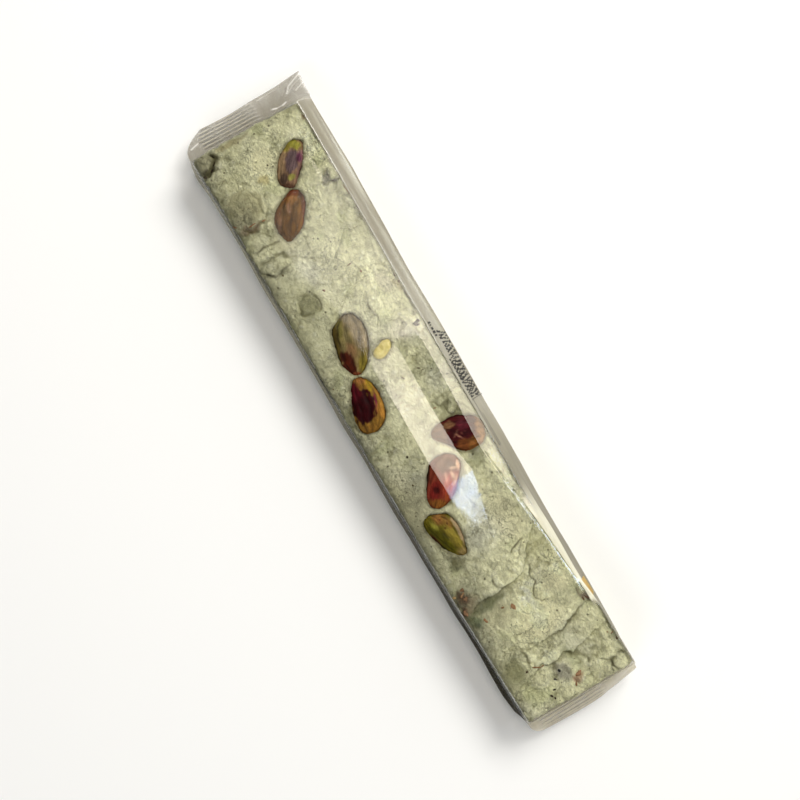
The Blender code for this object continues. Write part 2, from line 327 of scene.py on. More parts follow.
# Ledges: the points run along the edge, then the rise on the left of the run, the drop on its right and
# how far each fades out.
LEDGES = (
    (((64.6, -17.9), (62.4, -14.8), (61.3, -12.4), (61.4, -7.3), (60.4, -0.9), (59.2, 4.3), (53.4, 9),
      (47.6, 14.6)), 0.25, 0.75, 6, 4.5),
    (((91.3, -17), (88.4, -10.9), (86.5, -4), (88.6, -2.4), (86.4, 2.7), (88, 5.5), (86.4, 12),
      (85.2, 19.1)), 0.25, 0.4, 4, 3),
    (((-71.2, -19.4), (-71.5, -14), (-72.6, -9.8), (-75.6, -7)), 0.3, 0.35, 4, 2.5),
    (((80.9, -9), (80.5, 1), (80.8, 6), (77.2, 13.8), (75.8, 18.4)), 0.15, 0.3, 5, 4),
    (((-49.8, -1.2), (-53.5, 5), (-58.5, 9.8)), 0.1, 0.25, 4, 3),
)
# Lumps and hollows: centre, half length, half width, turn, height, and the depth of the line round it.
LUMPS = (
    ((-95.4, -17.6, 3.6, 3.4, 0), 0.15, 0.3),
    ((-78.2, -13.2, 7.4, 6.4, 8), 0.35, 0.25),
    ((-57.8, -13.6, 3.2, 5.6, -8), 0.30, 0.3),
    ((-42.8, -10.9, 3.2, 3.2, 20), 0.25, 0.45),
    ((-73.2, 12.6, 1.9, 1.6, 0), -0.7, 0.5),
    ((-66, 15.6, 5.6, 2.6, 5), 0.25, 0.25),
    ((-37.5, 11.8, 3.6, 2.4, 10), 0.2, 0.15),
    ((59.5, -15.3, 4.9, 3, 0), 0.3, 0.35),
    ((67.3, -8.2, 3.6, 4.6, 0), -0.15, 0),
    ((84.6, -13, 4.4, 3.8, 0), -0.5, 0),
    ((92.5, 2.6, 5.2, 5.8, 0), 0.25, 0.35),
    ((98, 16.2, 3, 3, 0), 0.2, 0.35),
    ((-22.4, 14.3, 1, 1, 0), -0.2, 0),
    ((10.5, 9, 2.2, 5, 60), -0.3, 0.1),
    ((5.6, 10.6, 2, 1.7, 0), 0.2, 0.3),
    ((2, 8.4, 1.7, 1.5, 0), 0.2, 0.3),
    ((47, -12, 3, 2.2, 20), -0.6, 0.1),
)
# Where the top is pressed smooth: centre, half length, half width and turn.
SMOOTH_SPOTS = (
    (-37.5, 11.8, 4, 3, 10),
    (67, -9.5, 5, 6, 0),
    (84.6, -13.4, 6, 4.6, 0),
    (-88, -2, 4, 5, 0),
    (67, 12, 4, 4.5, 0),
    (75, 2, 6, 8, 0),
    (-64, -8, 5, 4, 0),
    (25, -15, 12, 5, 0),
    (42, 8, 8, 5, 0),
)
# Stains in the nougat: a spot, its colour, how strong it is and how soft its edge.
STAINS = (
    ((-95.4, -17.4, 3.8, 3.6, 0), (138, 132, 96), 0.7, 0.35),
    ((-92.2, -19.2, 1.5, 1.2, 0), (40, 28, 16), 0.9, 0.5),
    ((-97, -8, 0.8, 6, 0), (164, 150, 106), 0.6, 0.6),
    ((-77.6, -13.6, 5.8, 5.6, 8), (150, 144, 106), 0.7, 0.25),
    ((-71.8, -15.6, 0.9, 4.6, -4), (112, 72, 48), 0.7, 0.6),
    ((-43.2, -11, 3.6, 3.4, 20), (132, 130, 84), 0.6, 0.4),
    ((-73.4, 12.4, 1.5, 1.3, 0), (112, 112, 104), 0.9, 0.4),
    ((-72.2, 13.6, 1.6, 0.7, 50), (54, 50, 36), 0.85, 0.5),
    ((-83, -4.5, 1.3, 1, 10), (196, 186, 134), 0.9, 0.4),
    ((-37.5, 11.8, 3.6, 2.3, 10), (205, 200, 168), 0.7, 0.3),
    ((-34.8, 14.9, 2.2, 1, 0), (170, 156, 112), 0.7, 0.5),
    ((59.5, -15.6, 4.8, 2.9, 0), (128, 108, 78), 0.75, 0.4),
    ((57, -15.8, 2.4, 1.6, 10), (92, 58, 38), 0.8, 0.4),
    ((61.6, -17.4, 1.6, 1.3, 0), (104, 56, 40), 0.8, 0.4),
    ((63.4, -10.6, 1.1, 4.6, 8), (92, 106, 74), 0.6, 0.5),
    ((65.5, -15.8, 1.6, 3.2, -30), (92, 112, 74), 0.8, 0.5),
    ((62.6, -8, 1.5, 3.6, 0), (104, 112, 78), 0.7, 0.7),
    ((84.6, -13, 4.4, 3.6, 0), (120, 126, 86), 0.6, 0.7),
    ((92, -0.4, 3.4, 2.6, 20), (142, 138, 124), 0.8, 0.5),
    ((95.3, 2.7, 1.5, 1.3, 30), (150, 96, 70), 0.75, 0.6),
    ((74.6, 17, 2, 1, 20), (106, 84, 74), 0.8, 0.5),
    ((-21, 8.8, 3.6, 2.6, 0), (150, 140, 112), 0.35, 0.8),
    ((-93, 16.1, 0.8, 0.7, 0), (128, 92, 46), 0.8, 0.4),
    ((46.6, -12.4, 3, 1.7, 15), (88, 86, 58), 0.8, 0.7),
    ((-63, 16.4, 6, 0.5, 2), (140, 100, 80), 0.6, 0.5),
)

# Broad parts of the top painted a little darker or paler: painted light and shade. Place, half length, half
# width, share.
SHADED = (
    (-69, -14.5, 7, 5.5, -0.20),
    (-55, -15, 8, 4.5, -0.16),
    (-28, -13.5, 14, 5, -0.15),
    (-23, -1.5, 9, 3.5, -0.12),
    (-5, 9.5, 11, 3.4, -0.14),
    (-10, -5, 8, 3.5, -0.16),
    (24, -11, 7, 6, -0.26),
    (46, -7, 9, 4, -0.26),
    (44.5, -2, 5, 2.6, -0.20),
    (21, 10.5, 4.5, 2.6, -0.30),
    (57, -12, 6, 5, -0.20),
    (74, -15.5, 9, 4, -0.18),
    (84, 7, 5, 6, -0.14),
    (51, -11, 2.6, 3, 0.10),
    (-86, -3, 6, 6, 0.18),
    (-85, 14.5, 8, 4, 0.26),
    (-76, -10, 8, 3, 0.12),
    (-50, 7, 8, 5, 0.20),
    (-34, 10, 12, 5.5, 0.24),
    (-18.5, 7, 5, 3, 0.20),
    (12, 6, 9, 5, 0.08),
    (62, 2, 8, 4, 0.14),
    (70, 4, 9, 5, 0.20),
    (57, 13, 10, 4.5, 0.26),
    (30, 14.5, 10, 3.5, 0.22),
    (36, -15, 6, 4, -0.24),
    (-6, -13, 7, 5, -0.16),
    (16, -8, 6, 3.5, -0.14),
    (-66, -3, 5, 6, -0.10),
    (30, -6, 5, 3, -0.18),
    (42, -3, 3.5, 2.6, -0.18),
    (14, -15, 8, 4, 0.20),
    (72, -1, 7, 5, 0.22),
    (84, -3, 5, 4.5, 0.12),
    (66, 14.8, 5, 3, 0.18),
    (-41.5, 2, 7, 4, 0.14),
)

slab_size = np.array((foot_face - head_face, RIGHT_EDGE[0] - LEFT_EDGE[0], SLAB_LEVELS[1] - SLAB_LEVELS[0]))
slab_low = np.array((head_face, LEFT_EDGE[0], SLAB_LEVELS[0]))
grid, slab_faces = boxed_grid(slab_size, GRID_SPACING)
skin_point = slab_low + grid * slab_size
core = np.clip(skin_point, slab_low + SLAB_EDGE_RADIUS, slab_low + slab_size - SLAB_EDGE_RADIUS)
outward = skin_point - core
outward /= np.linalg.norm(outward, axis=1)[:, None]
slab_points = core + outward * SLAB_EDGE_RADIUS
left_edge, right_edge = slab_edges(slab_points[:, 0])
slab_points[:, 1] = left_edge + (slab_points[:, 1] - LEFT_EDGE[0]) / slab_size[1] * (right_edge - left_edge)
on_top = ease(outward[:, 2], 0.15, 0.75)
underneath = ease(-outward[:, 2], 0.3, 0.9)

# Everything drawn on the top wanders a little, as torn edges do.
drift = np.stack([noise(slab_points, 7, seed) for seed in (1, 2, 3)], -1) * 1.5
shiver = np.stack([noise(slab_points, 1.5, seed) for seed in (4, 5, 6)], -1) * 0.45
ragged = np.stack([noise(slab_points, 3.4, seed) for seed in (7, 8, 9)], -1) * 1.3
flaked = slab_points + drift + shiver
line_x = slab_points[:, 0] + drift[:, 0] * 0.15 + shiver[:, 0]
line_y = slab_points[:, 1] + drift[:, 1] * 0.15 + shiver[:, 1]
lump_x = line_x + ragged[:, 0]
lump_y = line_y + ragged[:, 1]

smoothness = np.zeros(len(slab_points))
for spot in SMOOTH_SPOTS:
    smoothness = np.maximum(smoothness, fade(in_ellipse(lump_x, lump_y, spot), 0.6, 1.2))
smoothness *= on_top
torn = (0.55 + 0.45 * ease(noise(slab_points, 14, 10), -0.7, 0.5)) * (1.0 - 0.75 * smoothness)
torn *= 1.0 - underneath

big_gap, big_number = cells(flaked, 13, 11)
small_gap, small_number = cells(flaked, 5, 12)
tiny_gap, tiny_number = cells(slab_points + shiver * 0.8, 2.2, 13)
broken = ease(noise(slab_points, 9, 14), -0.15, 0.35)
puffs = np.abs(noise(flaked, 4.6, 15))
small_puffs = np.abs(noise(slab_points + 1.5 * shiver, 2.3, 16))
fine_puffs = np.abs(noise(slab_points, 1.3, 17))
crumple = noise(slab_points, 0.8, 18)
relief = 0.22 * noise(slab_points, 26, 19) * (1.0 - underneath)
relief += torn * 0.44 * (big_number - 0.5) * ease(big_gap, 0, 0.9)
relief -= torn * 0.50 * broken * hump(big_gap, 0.4)
relief += torn * 0.40 * (small_number - 0.5) * ease(small_gap, 0, 0.7)
relief -= torn * 0.30 * (1.0 - broken) * hump(small_gap, 0.35)
relief += torn * 0.26 * (tiny_number - 0.5) * ease(tiny_gap, 0, 0.5)
relief += torn * (0.44 * (puffs - 0.25) + 0.36 * (small_puffs - 0.25) + 0.40 * (fine_puffs - 0.25))
relief += torn * 0.2 * crumple

tint = coat(slab_points, (232, 230, 188))
tint = mix(tint, (240, 239, 214), 0.7 * ease(noise(slab_points, 12, 21), 0, 0.9))
tint = mix(tint, (203, 201, 156), 0.75 * ease(noise(slab_points, 16, 22), 0, 0.8))
tint = mix(tint, (164, 172, 108), 0.4 * ease(noise(slab_points, 6, 23), 0.15, 0.8))
tint = mix(tint, (158, 154, 112), 0.5 * torn * ease(noise(slab_points, 2.4, 24), 0.1, 0.8))
tint = mix(tint, (206, 200, 160), 0.5 * smoothness)
# The hollows between the puffs are painted darker: painted shade.
painted_valley_shade = 0.55 * hump(puffs, 0.07) * ease(noise(slab_points, 8, 25), -0.3, 0.3)
painted_valley_shade += 0.45 * hump(small_puffs, 0.10) * ease(noise(slab_points, 6, 26), -0.2, 0.4)
painted_valley_shade += 0.35 * hump(fine_puffs, 0.12) * ease(noise(slab_points, 5, 27), -0.2, 0.4)
tint = mix(tint, (118, 114, 76), np.clip(0.5 * painted_valley_shade * torn, 0, 0.8))
# The tops of the small puffs are painted paler: painted highlight.
painted_peak_highlight = ease(small_puffs + fine_puffs, 0.7, 1.2)
tint = mix(tint, (232, 231, 212), 0.35 * painted_peak_highlight * torn)

for path, half_width, depth in CRACKS:
    far, _, share = from_path(line_x, line_y, path)
    waning = np.sin(np.pi * np.clip(share, 0.06, 0.94)) ** 0.4
    cut = on_top * waning * hump(far, half_width)
    relief -= depth * cut
    # Each crack is also painted dark along its line: painted shade in the crack.
    tint = mix(tint, (52, 40, 26), 0.8 * cut * min(1.0, 0.4 + depth))
for path, rise, drop, reach_up, reach_down in LEDGES:
    far, side, share = from_path(line_x + 0.4 * ragged[:, 0], line_y + 0.4 * ragged[:, 1], path)
    waning = on_top * np.sin(np.pi * np.clip(share, 0.04, 0.96)) ** 0.4
    level = np.where(side > 0, rise * np.exp(-far / reach_up), -drop * np.exp(-far / reach_down))
    relief += waning * level
    # A dark line is painted along the low side of each ledge: painted shadow under its edge.
    painted_ledge_shadow = waning * hump(far, 0.5) * (side < 0)
    tint = mix(tint, (84, 84, 54), 0.6 * painted_ledge_shadow)
for spot, height, groove in LUMPS:
    far = in_ellipse(lump_x, lump_y, spot)
    scale = min(spot[2], spot[3])
    relief += on_top * height * fade(far, 0.5, 1)
    gaps = ease(noise(slab_points, 3, 28), -0.35, 0.15)
    # The groove round each lump is cut into the relief and painted dark as well: painted shade in the
    # groove.
    ring_groove_and_shade = on_top * gaps * hump((far - 1) * scale, 0.4)
    relief -= 1.5 * groove * ring_groove_and_shade
    tint = mix(tint, (84, 78, 46), ring_groove_and_shade * min(1.0, 1.3 * groove))
for spot, colour, strength, softness in STAINS:
    far = in_ellipse(lump_x, lump_y, spot)
    cover = fade(far, 1.0 - softness, 1.0 + softness)
    tint = mix(tint, colour, strength * on_top * cover)

# Nuts sink the nougat round them a little, and their sockets go down below the nuts themselves.
for name in KERNEL_SIZES:
    far = off_kernel(line_x - 0.5 * shiver[:, 0], line_y - 0.5 * shiver[:, 1], name)
    relief -= 0.25 * on_top * hump(np.maximum(far, 0), 0.8)
    # The nougat right round each nut is painted darker: painted shade in the dip beside it.
    tint = mix(tint, (112, 98, 68), 0.5 * on_top * hump(np.maximum(far, 0), 0.5))
    socket_depth = PALE_SOCKET_DEPTH if name == "pale_nut_piece" else SOCKET_DEPTH
    relief -= on_top * socket_depth * fade(far, -0.95, -0.3)

# Wherever the top sinks, it is painted darker: painted shade in the hollows.
painted_cavity_shade = ease(-relief, 0.1, 0.6) * on_top
tint = mix(tint, (134, 130, 86), 0.45 * painted_cavity_shade)
# A dark band is painted along the left edge of the top, widest near the middle of its length: painted shade.
from_left = slab_points[:, 1] - left_edge
left_edge_shade_width = 2.7 + 0.4 * hump(slab_points[:, 0] - 12, 12)
tint = mix(tint, (96, 92, 60), 0.55 * hump(from_left, left_edge_shade_width))
# The left part of the top is painted darker, most in the middle of its length, and the foot end paler:
# painted shade and painted light.
middle = ease(slab_points[:, 0], -66, -46) * fade(slab_points[:, 0], 50, 66)
tint *= (1.0 - (0.04 + 0.15 * middle) * fade(slab_points[:, 1], -12, -3))[:, None]
tint *= (1.0 + 0.13 * ease(slab_points[:, 0], 68, 80))[:, None]
for *spot, share in SHADED:
    cover = fade(in_ellipse(line_x, line_y, (*spot, 0)), 0.4, 1.5)
    tint *= (1.0 + share * on_top * cover)[:, None]
tint = np.minimum(tint, 0.93)
slab_points = slab_points + outward * relief[:, None]
# The film presses the highest lumps down softly, so that nothing stands above the slab's ceiling.
headroom = SLAB_CEILING - slab_points[:, 2]
pressed = 0.12 * np.log1p(np.exp(np.clip(headroom / 0.12, -30, 30)))
slab_points[:, 2] = SLAB_CEILING - np.where(headroom < 3, pressed, headroom)


def node_maker(tree):
    """A maker of a tree's nodes. An input may be given a value or another node's output."""

    def node(kind, inputs=(), **settings):
        made = tree.nodes.new(kind)
        for key, value in settings.items():
            setattr(made, key, value)
        for key, value in dict(inputs).items():
            if isinstance(value, bpy.types.NodeSocket):
                tree.links.new(value, made.inputs[key])
            else:
                made.inputs[key].default_value = value
        return made

    return node


def new_material(name):
    """An empty node material, a maker of its nodes, and the place of each point on the object."""
    material = bpy.data.materials.new(name)
    material.use_nodes = True
    material.node_tree.nodes.clear()
    node = node_maker(material.node_tree)
    return material, node, node("ShaderNodeTexCoord").outputs["Object"]


def layer(name, output="Fac"):
    """What a piece's own layer of values or colours says."""
    return node("ShaderNodeAttribute", attribute_name=name).outputs[output]


def joined(operation, first, second):
    """What a maths node makes of two values, either of which may be an output or a number."""
    return node("ShaderNodeMath", {0: first, 1: second}, operation=operation).outputs["Value"]


def ranged(value, low, high, to_low=0.0, to_high=1.0):
    """A value stretched from one range to another."""
    ends = {"From Min": low, "From Max": high, "To Min": to_low, "To Max": to_high}
    return node("ShaderNodeMapRange", {"Value": value, **ends}).outputs["Result"]


def blended(share, first, second, blend="MIX"):
    """Two colours mixed by a share."""
    inputs = {"Factor": share, "A": first, "B": second}
    return node("ShaderNodeMix", inputs, data_type="RGBA", blend_type=blend).outputs["Result"]


def raised(height, strength, distance):
    """The normals of a surface roughened by a height."""
    inputs = {"Height": height, "Strength": strength, "Distance": distance}
    return node("ShaderNodeBump", inputs).outputs["Normal"]


def surfaced(colour, roughness, specular, normal=None):
    """Give the material its surface of this colour and gloss."""
    inputs = {"Base Color": colour, "Roughness": roughness, "Specular IOR Level": specular}
    if normal:
        inputs["Normal"] = normal
    shader = node("ShaderNodeBsdfPrincipled", inputs)
    node("ShaderNodeOutputMaterial", {"Surface": shader.outputs["BSDF"]})


def opaque(red, green, blue):
    """A screen colour as a node's solid colour."""
    return (*linear(red, green, blue), 1.0)


def speckle(scale, detail, low, high, to_low=0.0, to_high=1.0, roughness=0.55):
    """Noise of one scale, stretched from one range of values to another."""
    inputs = {"Vector": place, "Scale": scale, "Detail": detail, "Roughness": roughness}
    return ranged(node("ShaderNodeTexNoise", inputs).outputs["Fac"], low, high, to_low, to_high)


def hairline(scale, width, where):
    """Thin wandering lines, broken up by a slower noise."""
    near = joined("ABSOLUTE", speckle(scale, 2, 0, 1, -0.5, 0.5), 0)
    return joined("MULTIPLY", ranged(near, 0, width, 1, 0), speckle(where, 1, 0.48, 0.62))


def strokes(turn, shift):
    """Long torn strokes running one way, from noise stretched along them."""
    lie = {"Location": (shift, 0.0, 0.0), "Rotation": (0.0, 0.0, math.radians(turn))}
    drawn = node("ShaderNodeMapping", {"Vector": place, "Scale": STROKE_SCALE, **lie}).outputs["Vector"]
    inputs = {"Vector": drawn, "Scale": 1.0, "Detail": 4.0, "Roughness": 0.65, "Distortion": 0.8}
    return ranged(node("ShaderNodeTexNoise", inputs).outputs["Fac"], 0.40, 0.60)


STROKE_SCALE = (560.0, 1250.0, 800.0)
nougat_look, node, place = new_material("nougat")
lines = joined("MAXIMUM", hairline(330, 0.016, 110), hairline(760, 0.020, 170))
lines = joined("MAXIMUM", lines, joined("MULTIPLY", hairline(1500, 0.03, 260), 0.6))
grain = speckle(2200, 4, 0.3, 0.7, 0.86, 1.14, 0.7)
shade = joined("MULTIPLY", grain, speckle(420, 3, 0.35, 0.65, 0.96, 1.04))
# The hairlines are grooves in the bump and are painted darker too: painted shade in the grooves.
shade = joined("MULTIPLY", shade, joined("SUBTRACT", 1.0, joined("MULTIPLY", lines, 0.5)))
grained = blended(1.0, layer("tint", "Color"), shade, "MULTIPLY")
# The pores are dips in the bump and are painted dark: painted shade in the pores.
pores = node("ShaderNodeTexVoronoi", {"Vector": place, "Scale": 520.0, "Randomness": 1.0}, feature="F1")
pore_number = node("ShaderNodeSeparateColor", {"Color": pores.outputs["Color"]}).outputs["Red"]
in_pore = ranged(pores.outputs["Distance"], 0.10, 0.22, 1, 0)
in_pore = joined("MULTIPLY", in_pore, joined("GREATER_THAN", pore_number, 0.90))
pored = blended(joined("MULTIPLY", in_pore, 0.7), grained, opaque(66, 56, 34))
swap = speckle(260, 2, 0.47, 0.53)
one_way = joined("MULTIPLY", strokes(32, 0), swap)
other_way = joined("MULTIPLY", strokes(-56, 3), joined("SUBTRACT", 1, swap))
torn_strokes = joined("MULTIPLY", joined("ADD", one_way, other_way), 0.62)
height = joined("ADD", speckle(1900, 4, 0.2, 0.8, 0, 0.6, 0.7), torn_strokes)
height = joined("SUBTRACT", height, joined("MAXIMUM", lines, in_pore))
surfaced(pored, 0.62, 0.35, raised(height, 1, 0.00046))

nougat = make_piece("nougat_slab", slab_points, slab_faces, nougat_look)
store_colour(nougat, "tint", tint)
thin = nougat.modifiers.new("thin", "DECIMATE")
thin.ratio = SLAB_TRIANGLES / (2.0 * len(slab_faces))
thinned = bpy.data.meshes.new_from_object(nougat.evaluated_get(bpy.context.evaluated_depsgraph_get()))
nougat.modifiers.clear()
nougat.data = thinned
nougat.data.shade_smooth()
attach(nougat, "root")
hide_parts("wrapped_slab")


# ---- The pistachio kernels -----------------------------------------------------------------------
# Seven whole roasted kernels, each set in its own socket in the top. Their papery skin is mauve, brown
# or maroon, ribbed from end to end, and rubbed away in places so that the green or gold seed shows.
KERNEL_RINGS = 84
KERNEL_SEGMENTS = 92
KERNEL_HEIGHT = 8.6
KERNEL_DOME = 2.2
KERNEL_TOP = 15.3
KERNEL_RIBS = 11

# Each kernel's skin colour, how deep its ribs are, and its patches: place along (-1 blunt end to 1 tip)
# and across (-1 to 1), half length, half width, turn, colour, edge softness.
KERNEL_PAINT = {
    "pistachio_1": ((126, 98, 74), 0.06, (
        (-0.10, -0.80, 0.9, 0.30, 0, (132, 108, 80), 0.5),
        (-0.08, -0.10, 0.50, 0.48, -5, (92, 74, 74), 0.25),
        (-0.34, 0.48, 0.30, 0.24, 0, (142, 104, 100), 0.35),
        (-0.26, 0.38, 0.24, 0.20, 0, (92, 50, 68), 0.4),
        (0.30, 0.50, 0.40, 0.16, -8, (112, 84, 74), 0.4),
        (0.66, -0.50, 0.24, 0.32, 15, (72, 56, 44), 0.25),
        (-0.84, -0.20, 0.20, 0.62, -12, (144, 138, 56), 0.35),
        (-0.62, -0.62, 0.18, 0.24, 0, (126, 114, 50), 0.4),
        (0.53, 0.04, 0.12, 0.24, 10, (142, 136, 70), 0.3),
        (0.94, 0, 0.14, 0.5, 0, (84, 58, 42), 0.5),
        (0.55, 0.60, 0.6, 0.12, -12, (60, 32, 24), 0.5),
    )),
    "pistachio_2": ((94, 67, 30), 0.08, (
        (-0.45, 0.10, 0.55, 0.60, 0, (91, 60, 20), 0.5),
        (-0.10, 0.85, 0.60, 0.25, 0, (108, 76, 50), 0.5),
        (-0.1, -0.55, 0.60, 0.20, 0, (118, 80, 36), 0.5),
        (0.30, -0.72, 0.60, 0.14, 0, (96, 58, 38), 0.5),
        (0.84, 0, 0.22, 0.50, 20, (98, 52, 30), 0.5),
        (0.58, 0.30, 0.16, 0.20, 0, (104, 66, 24), 0.4),
        (0.56, -0.02, 0.16, 0.28, 0, (142, 100, 56), 0.4),
        (0.28, 0.20, 0.20, 0.14, 20, (124, 88, 60), 0.5),
        (0.82, -0.55, 0.18, 0.16, 0, (66, 42, 30), 0.4),
    )),
    "pistachio_3": ((116, 100, 62), 0.13, (
        (-0.45, 0.50, 0.60, 0.40, 14, (134, 119, 90), 0.5),
        (-0.90, 0, 0.20, 0.5, 0, (124, 111, 84), 0.5),
        (-0.05, -0.25, 0.60, 0.30, 0, (112, 100, 62), 0.5),
        (0.24, -0.10, 0.26, 0.26, 0, (134, 102, 68), 0.5),
        (0.66, 0.45, 0.40, 0.26, -25, (118, 104, 40), 0.4),
        (-0.55, -0.55, 0.35, 0.25, 0, (100, 92, 46), 0.4),
        (-0.20, -0.84, 0.95, 0.24, 2, (68, 56, 18), 0.35),
        (0.66, -0.34, 0.44, 0.36, 20, (62, 20, 6), 0.22),
        (0.34, -0.58, 0.18, 0.12, 22, (50, 14, 4), 0.4),
        (0.98, -0.02, 0.08, 0.2, 0, (118, 62, 36), 0.4),
    )),
    "pistachio_4": ((134, 98, 38), 0.12, (
        (0.02, 0.26, 0.66, 0.76, -8, (44, 0, 4), 0.12),
        (0.60, 0.40, 0.36, 0.30, -12, (70, 8, 18), 0.5),
        (0.05, -0.58, 0.34, 0.07, -8, (110, 36, 52), 0.5),
        (0.70, -0.47, 0.27, 0.15, 16, (140, 112, 28), 0.13),
        (0.95, -0.05, 0.13, 0.34, -10, (126, 84, 42), 0.3),
        (0.25, 0.88, 0.55, 0.05, -14, (140, 96, 84), 0.5),
        (0, 1.02, 0.95, 0.10, 0, (30, 8, 4), 0.4),
        (-0.85, 0.25, 0.18, 0.6, 0, (124, 88, 34), 0.4),
        (-0.35, -0.70, 0.30, 0.18, 10, (160, 112, 46), 0.4),
        (0.4, -0.92, 0.6, 0.10, 14, (132, 74, 28), 0.5),
    )),
    "pistachio_5": ((70, 18, 18), 0.12, (
        (0, -0.20, 0.60, 0.60, 0, (58, 8, 14), 0.4),
        (-0.10, -0.45, 0.20, 0.34, 0, (86, 26, 36), 0.5),
        (-0.35, 0.75, 0.50, 0.42, 0, (128, 82, 38), 0.3),
        (-0.35, 0.68, 0.08, 0.22, 20, (146, 92, 46), 0.5),
        (0.05, 0.70, 0.24, 0.40, 0, (108, 60, 28), 0.4),
        (-0.84, 0, 0.26, 0.8, 0, (146, 104, 58), 0.4),
        (0.42, -0.62, 0.22, 0.20, 20, (116, 80, 54), 0.2),
        (0.94, -0.22, 0.34, 0.7, 0, (112, 80, 54), 0.35),
        (0.14, 0.10, 0.20, 0.035, -50, (136, 92, 74), 0.6),
        (0.24, -0.06, 0.20, 0.03, 60, (126, 82, 66), 0.6),
        (-0.02, -0.05, 0.14, 0.03, 30, (110, 58, 48), 0.6),
    )),
    "pistachio_6": ((112, 48, 32), 0.08, (
        (0, 0.30, 0.50, 0.40, 0, (164, 58, 40), 0.5),
        (-0.70, -0.05, 0.40, 0.66, 0, (116, 80, 54), 0.4),
        (-0.70, 0.10, 0.16, 0.30, 0, (96, 66, 46), 0.4),
        (-0.72, 0.62, 0.20, 0.10, 30, (204, 166, 130), 0.5),
        (-0.55, 0.35, 0.05, 0.22, 10, (200, 162, 128), 0.5),
        (-0.28, 0.42, 0.20, 0.07, 50, (214, 176, 140), 0.5),
        (-0.05, 0.62, 0.22, 0.08, -20, (210, 160, 130), 0.5),
        (-0.15, 0.05, 0.24, 0.05, 25, (204, 152, 122), 0.5),
        (0.50, -0.40, 0.42, 0.40, 8, (104, 28, 22), 0.4),
        (0.45, -0.35, 0.12, 0.24, 0, (64, 14, 10), 0.4),
        (1.02, -0.1, 0.22, 0.60, 0, (124, 76, 30), 0.4),
        (0.2, -1.02, 0.9, 0.12, 0, (52, 28, 12), 0.4),
        (0.62, 0.32, 0.20, 0.10, 0, (140, 66, 36), 0.5),
    )),
    "pistachio_7": ((98, 88, 22), 0.10, (
        (0.20, 0.28, 0.60, 0.34, -8, (120, 106, 40), 0.4),
        (-0.05, -0.42, 0.80, 0.40, 4, (68, 64, 6), 0.35),
        (-0.60, -0.14, 0.20, 0.22, 0, (124, 120, 44), 0.5),
        (-0.72, 0.35, 0.26, 0.40, 10, (132, 92, 46), 0.5),
        (-0.40, 0.60, 0.30, 0.20, 0, (112, 82, 34), 0.5),
        (0.10, 0.86, 0.80, 0.20, -22, (144, 124, 92), 0.3),
        (-0.15, -0.74, 0.34, 0.12, 4, (58, 20, 6), 0.3),
        (-0.60, -0.85, 0.30, 0.08, 10, (22, 14, 4), 0.3),
        (0.45, -0.66, 0.30, 0.08, 20, (34, 20, 6), 0.3),
        (-0.35, 0.52, 0.05, 0.06, 0, (60, 34, 14), 0.4),
        (-0.26, 0.26, 0.05, 0.05, 0, (70, 40, 16), 0.4),
        (-0.64, 0.32, 0.04, 0.05, 0, (92, 50, 28), 0.4),
        (0.86, 0.10, 0.18, 0.4, 0, (122, 104, 62), 0.5),
    )),
}


def closed_tube(rings, segments):
    """Faces of a closed form: a point, rings of points, then a point."""
    faces = []
    for row in range(rings - 1):
        for step in range(segments):
            here = 1 + row * segments + step
            after = 1 + row * segments + (step + 1) % segments
            faces.append((here, after, after + segments, here + segments))
    last = 1 + rings * segments
    for step in range(segments):
        after = (step + 1) % segments
        faces.append((0, 1 + after, 1 + step))
        faces.append((last, last - segments + step, last - segments + after))
    return faces


def kernel_form(rings, segments):
    """Places along, and round, of every point of a kernel."""
    along = [-1.0]
    around = [0.0]
    for row in range(1, rings + 1):
        for step in range(segments):
            along.append(-math.cos(math.pi * row / (rings + 1)))
            around.append(math.tau * step / segments)
    return np.array(along + [1.0]), np.array(around + [0.0])


kernel_look, node, place = new_material("pistachio_skin")
streak_inputs = {"Vector": layer("lie", "Vector"), "Scale": 2400.0, "Detail": 4.0, "Roughness": 0.6}
streak_shade = ranged(node("ShaderNodeTexNoise", streak_inputs).outputs["Fac"], 0.3, 0.7, 0.68, 1.34)
fleck_shade = joined("MULTIPLY", speckle(2200, 5, 0.3, 0.72, 0.78, 1.22, 0.65), streak_shade)
flecked = blended(1.0, layer("tint", "Color"), fleck_shade, "MULTIPLY")
surfaced(flecked, speckle(2200, 5, 0.3, 0.7, 0.34, 0.6, 0.65), 0.06, raised(fleck_shade, 0.6, 0.00014))

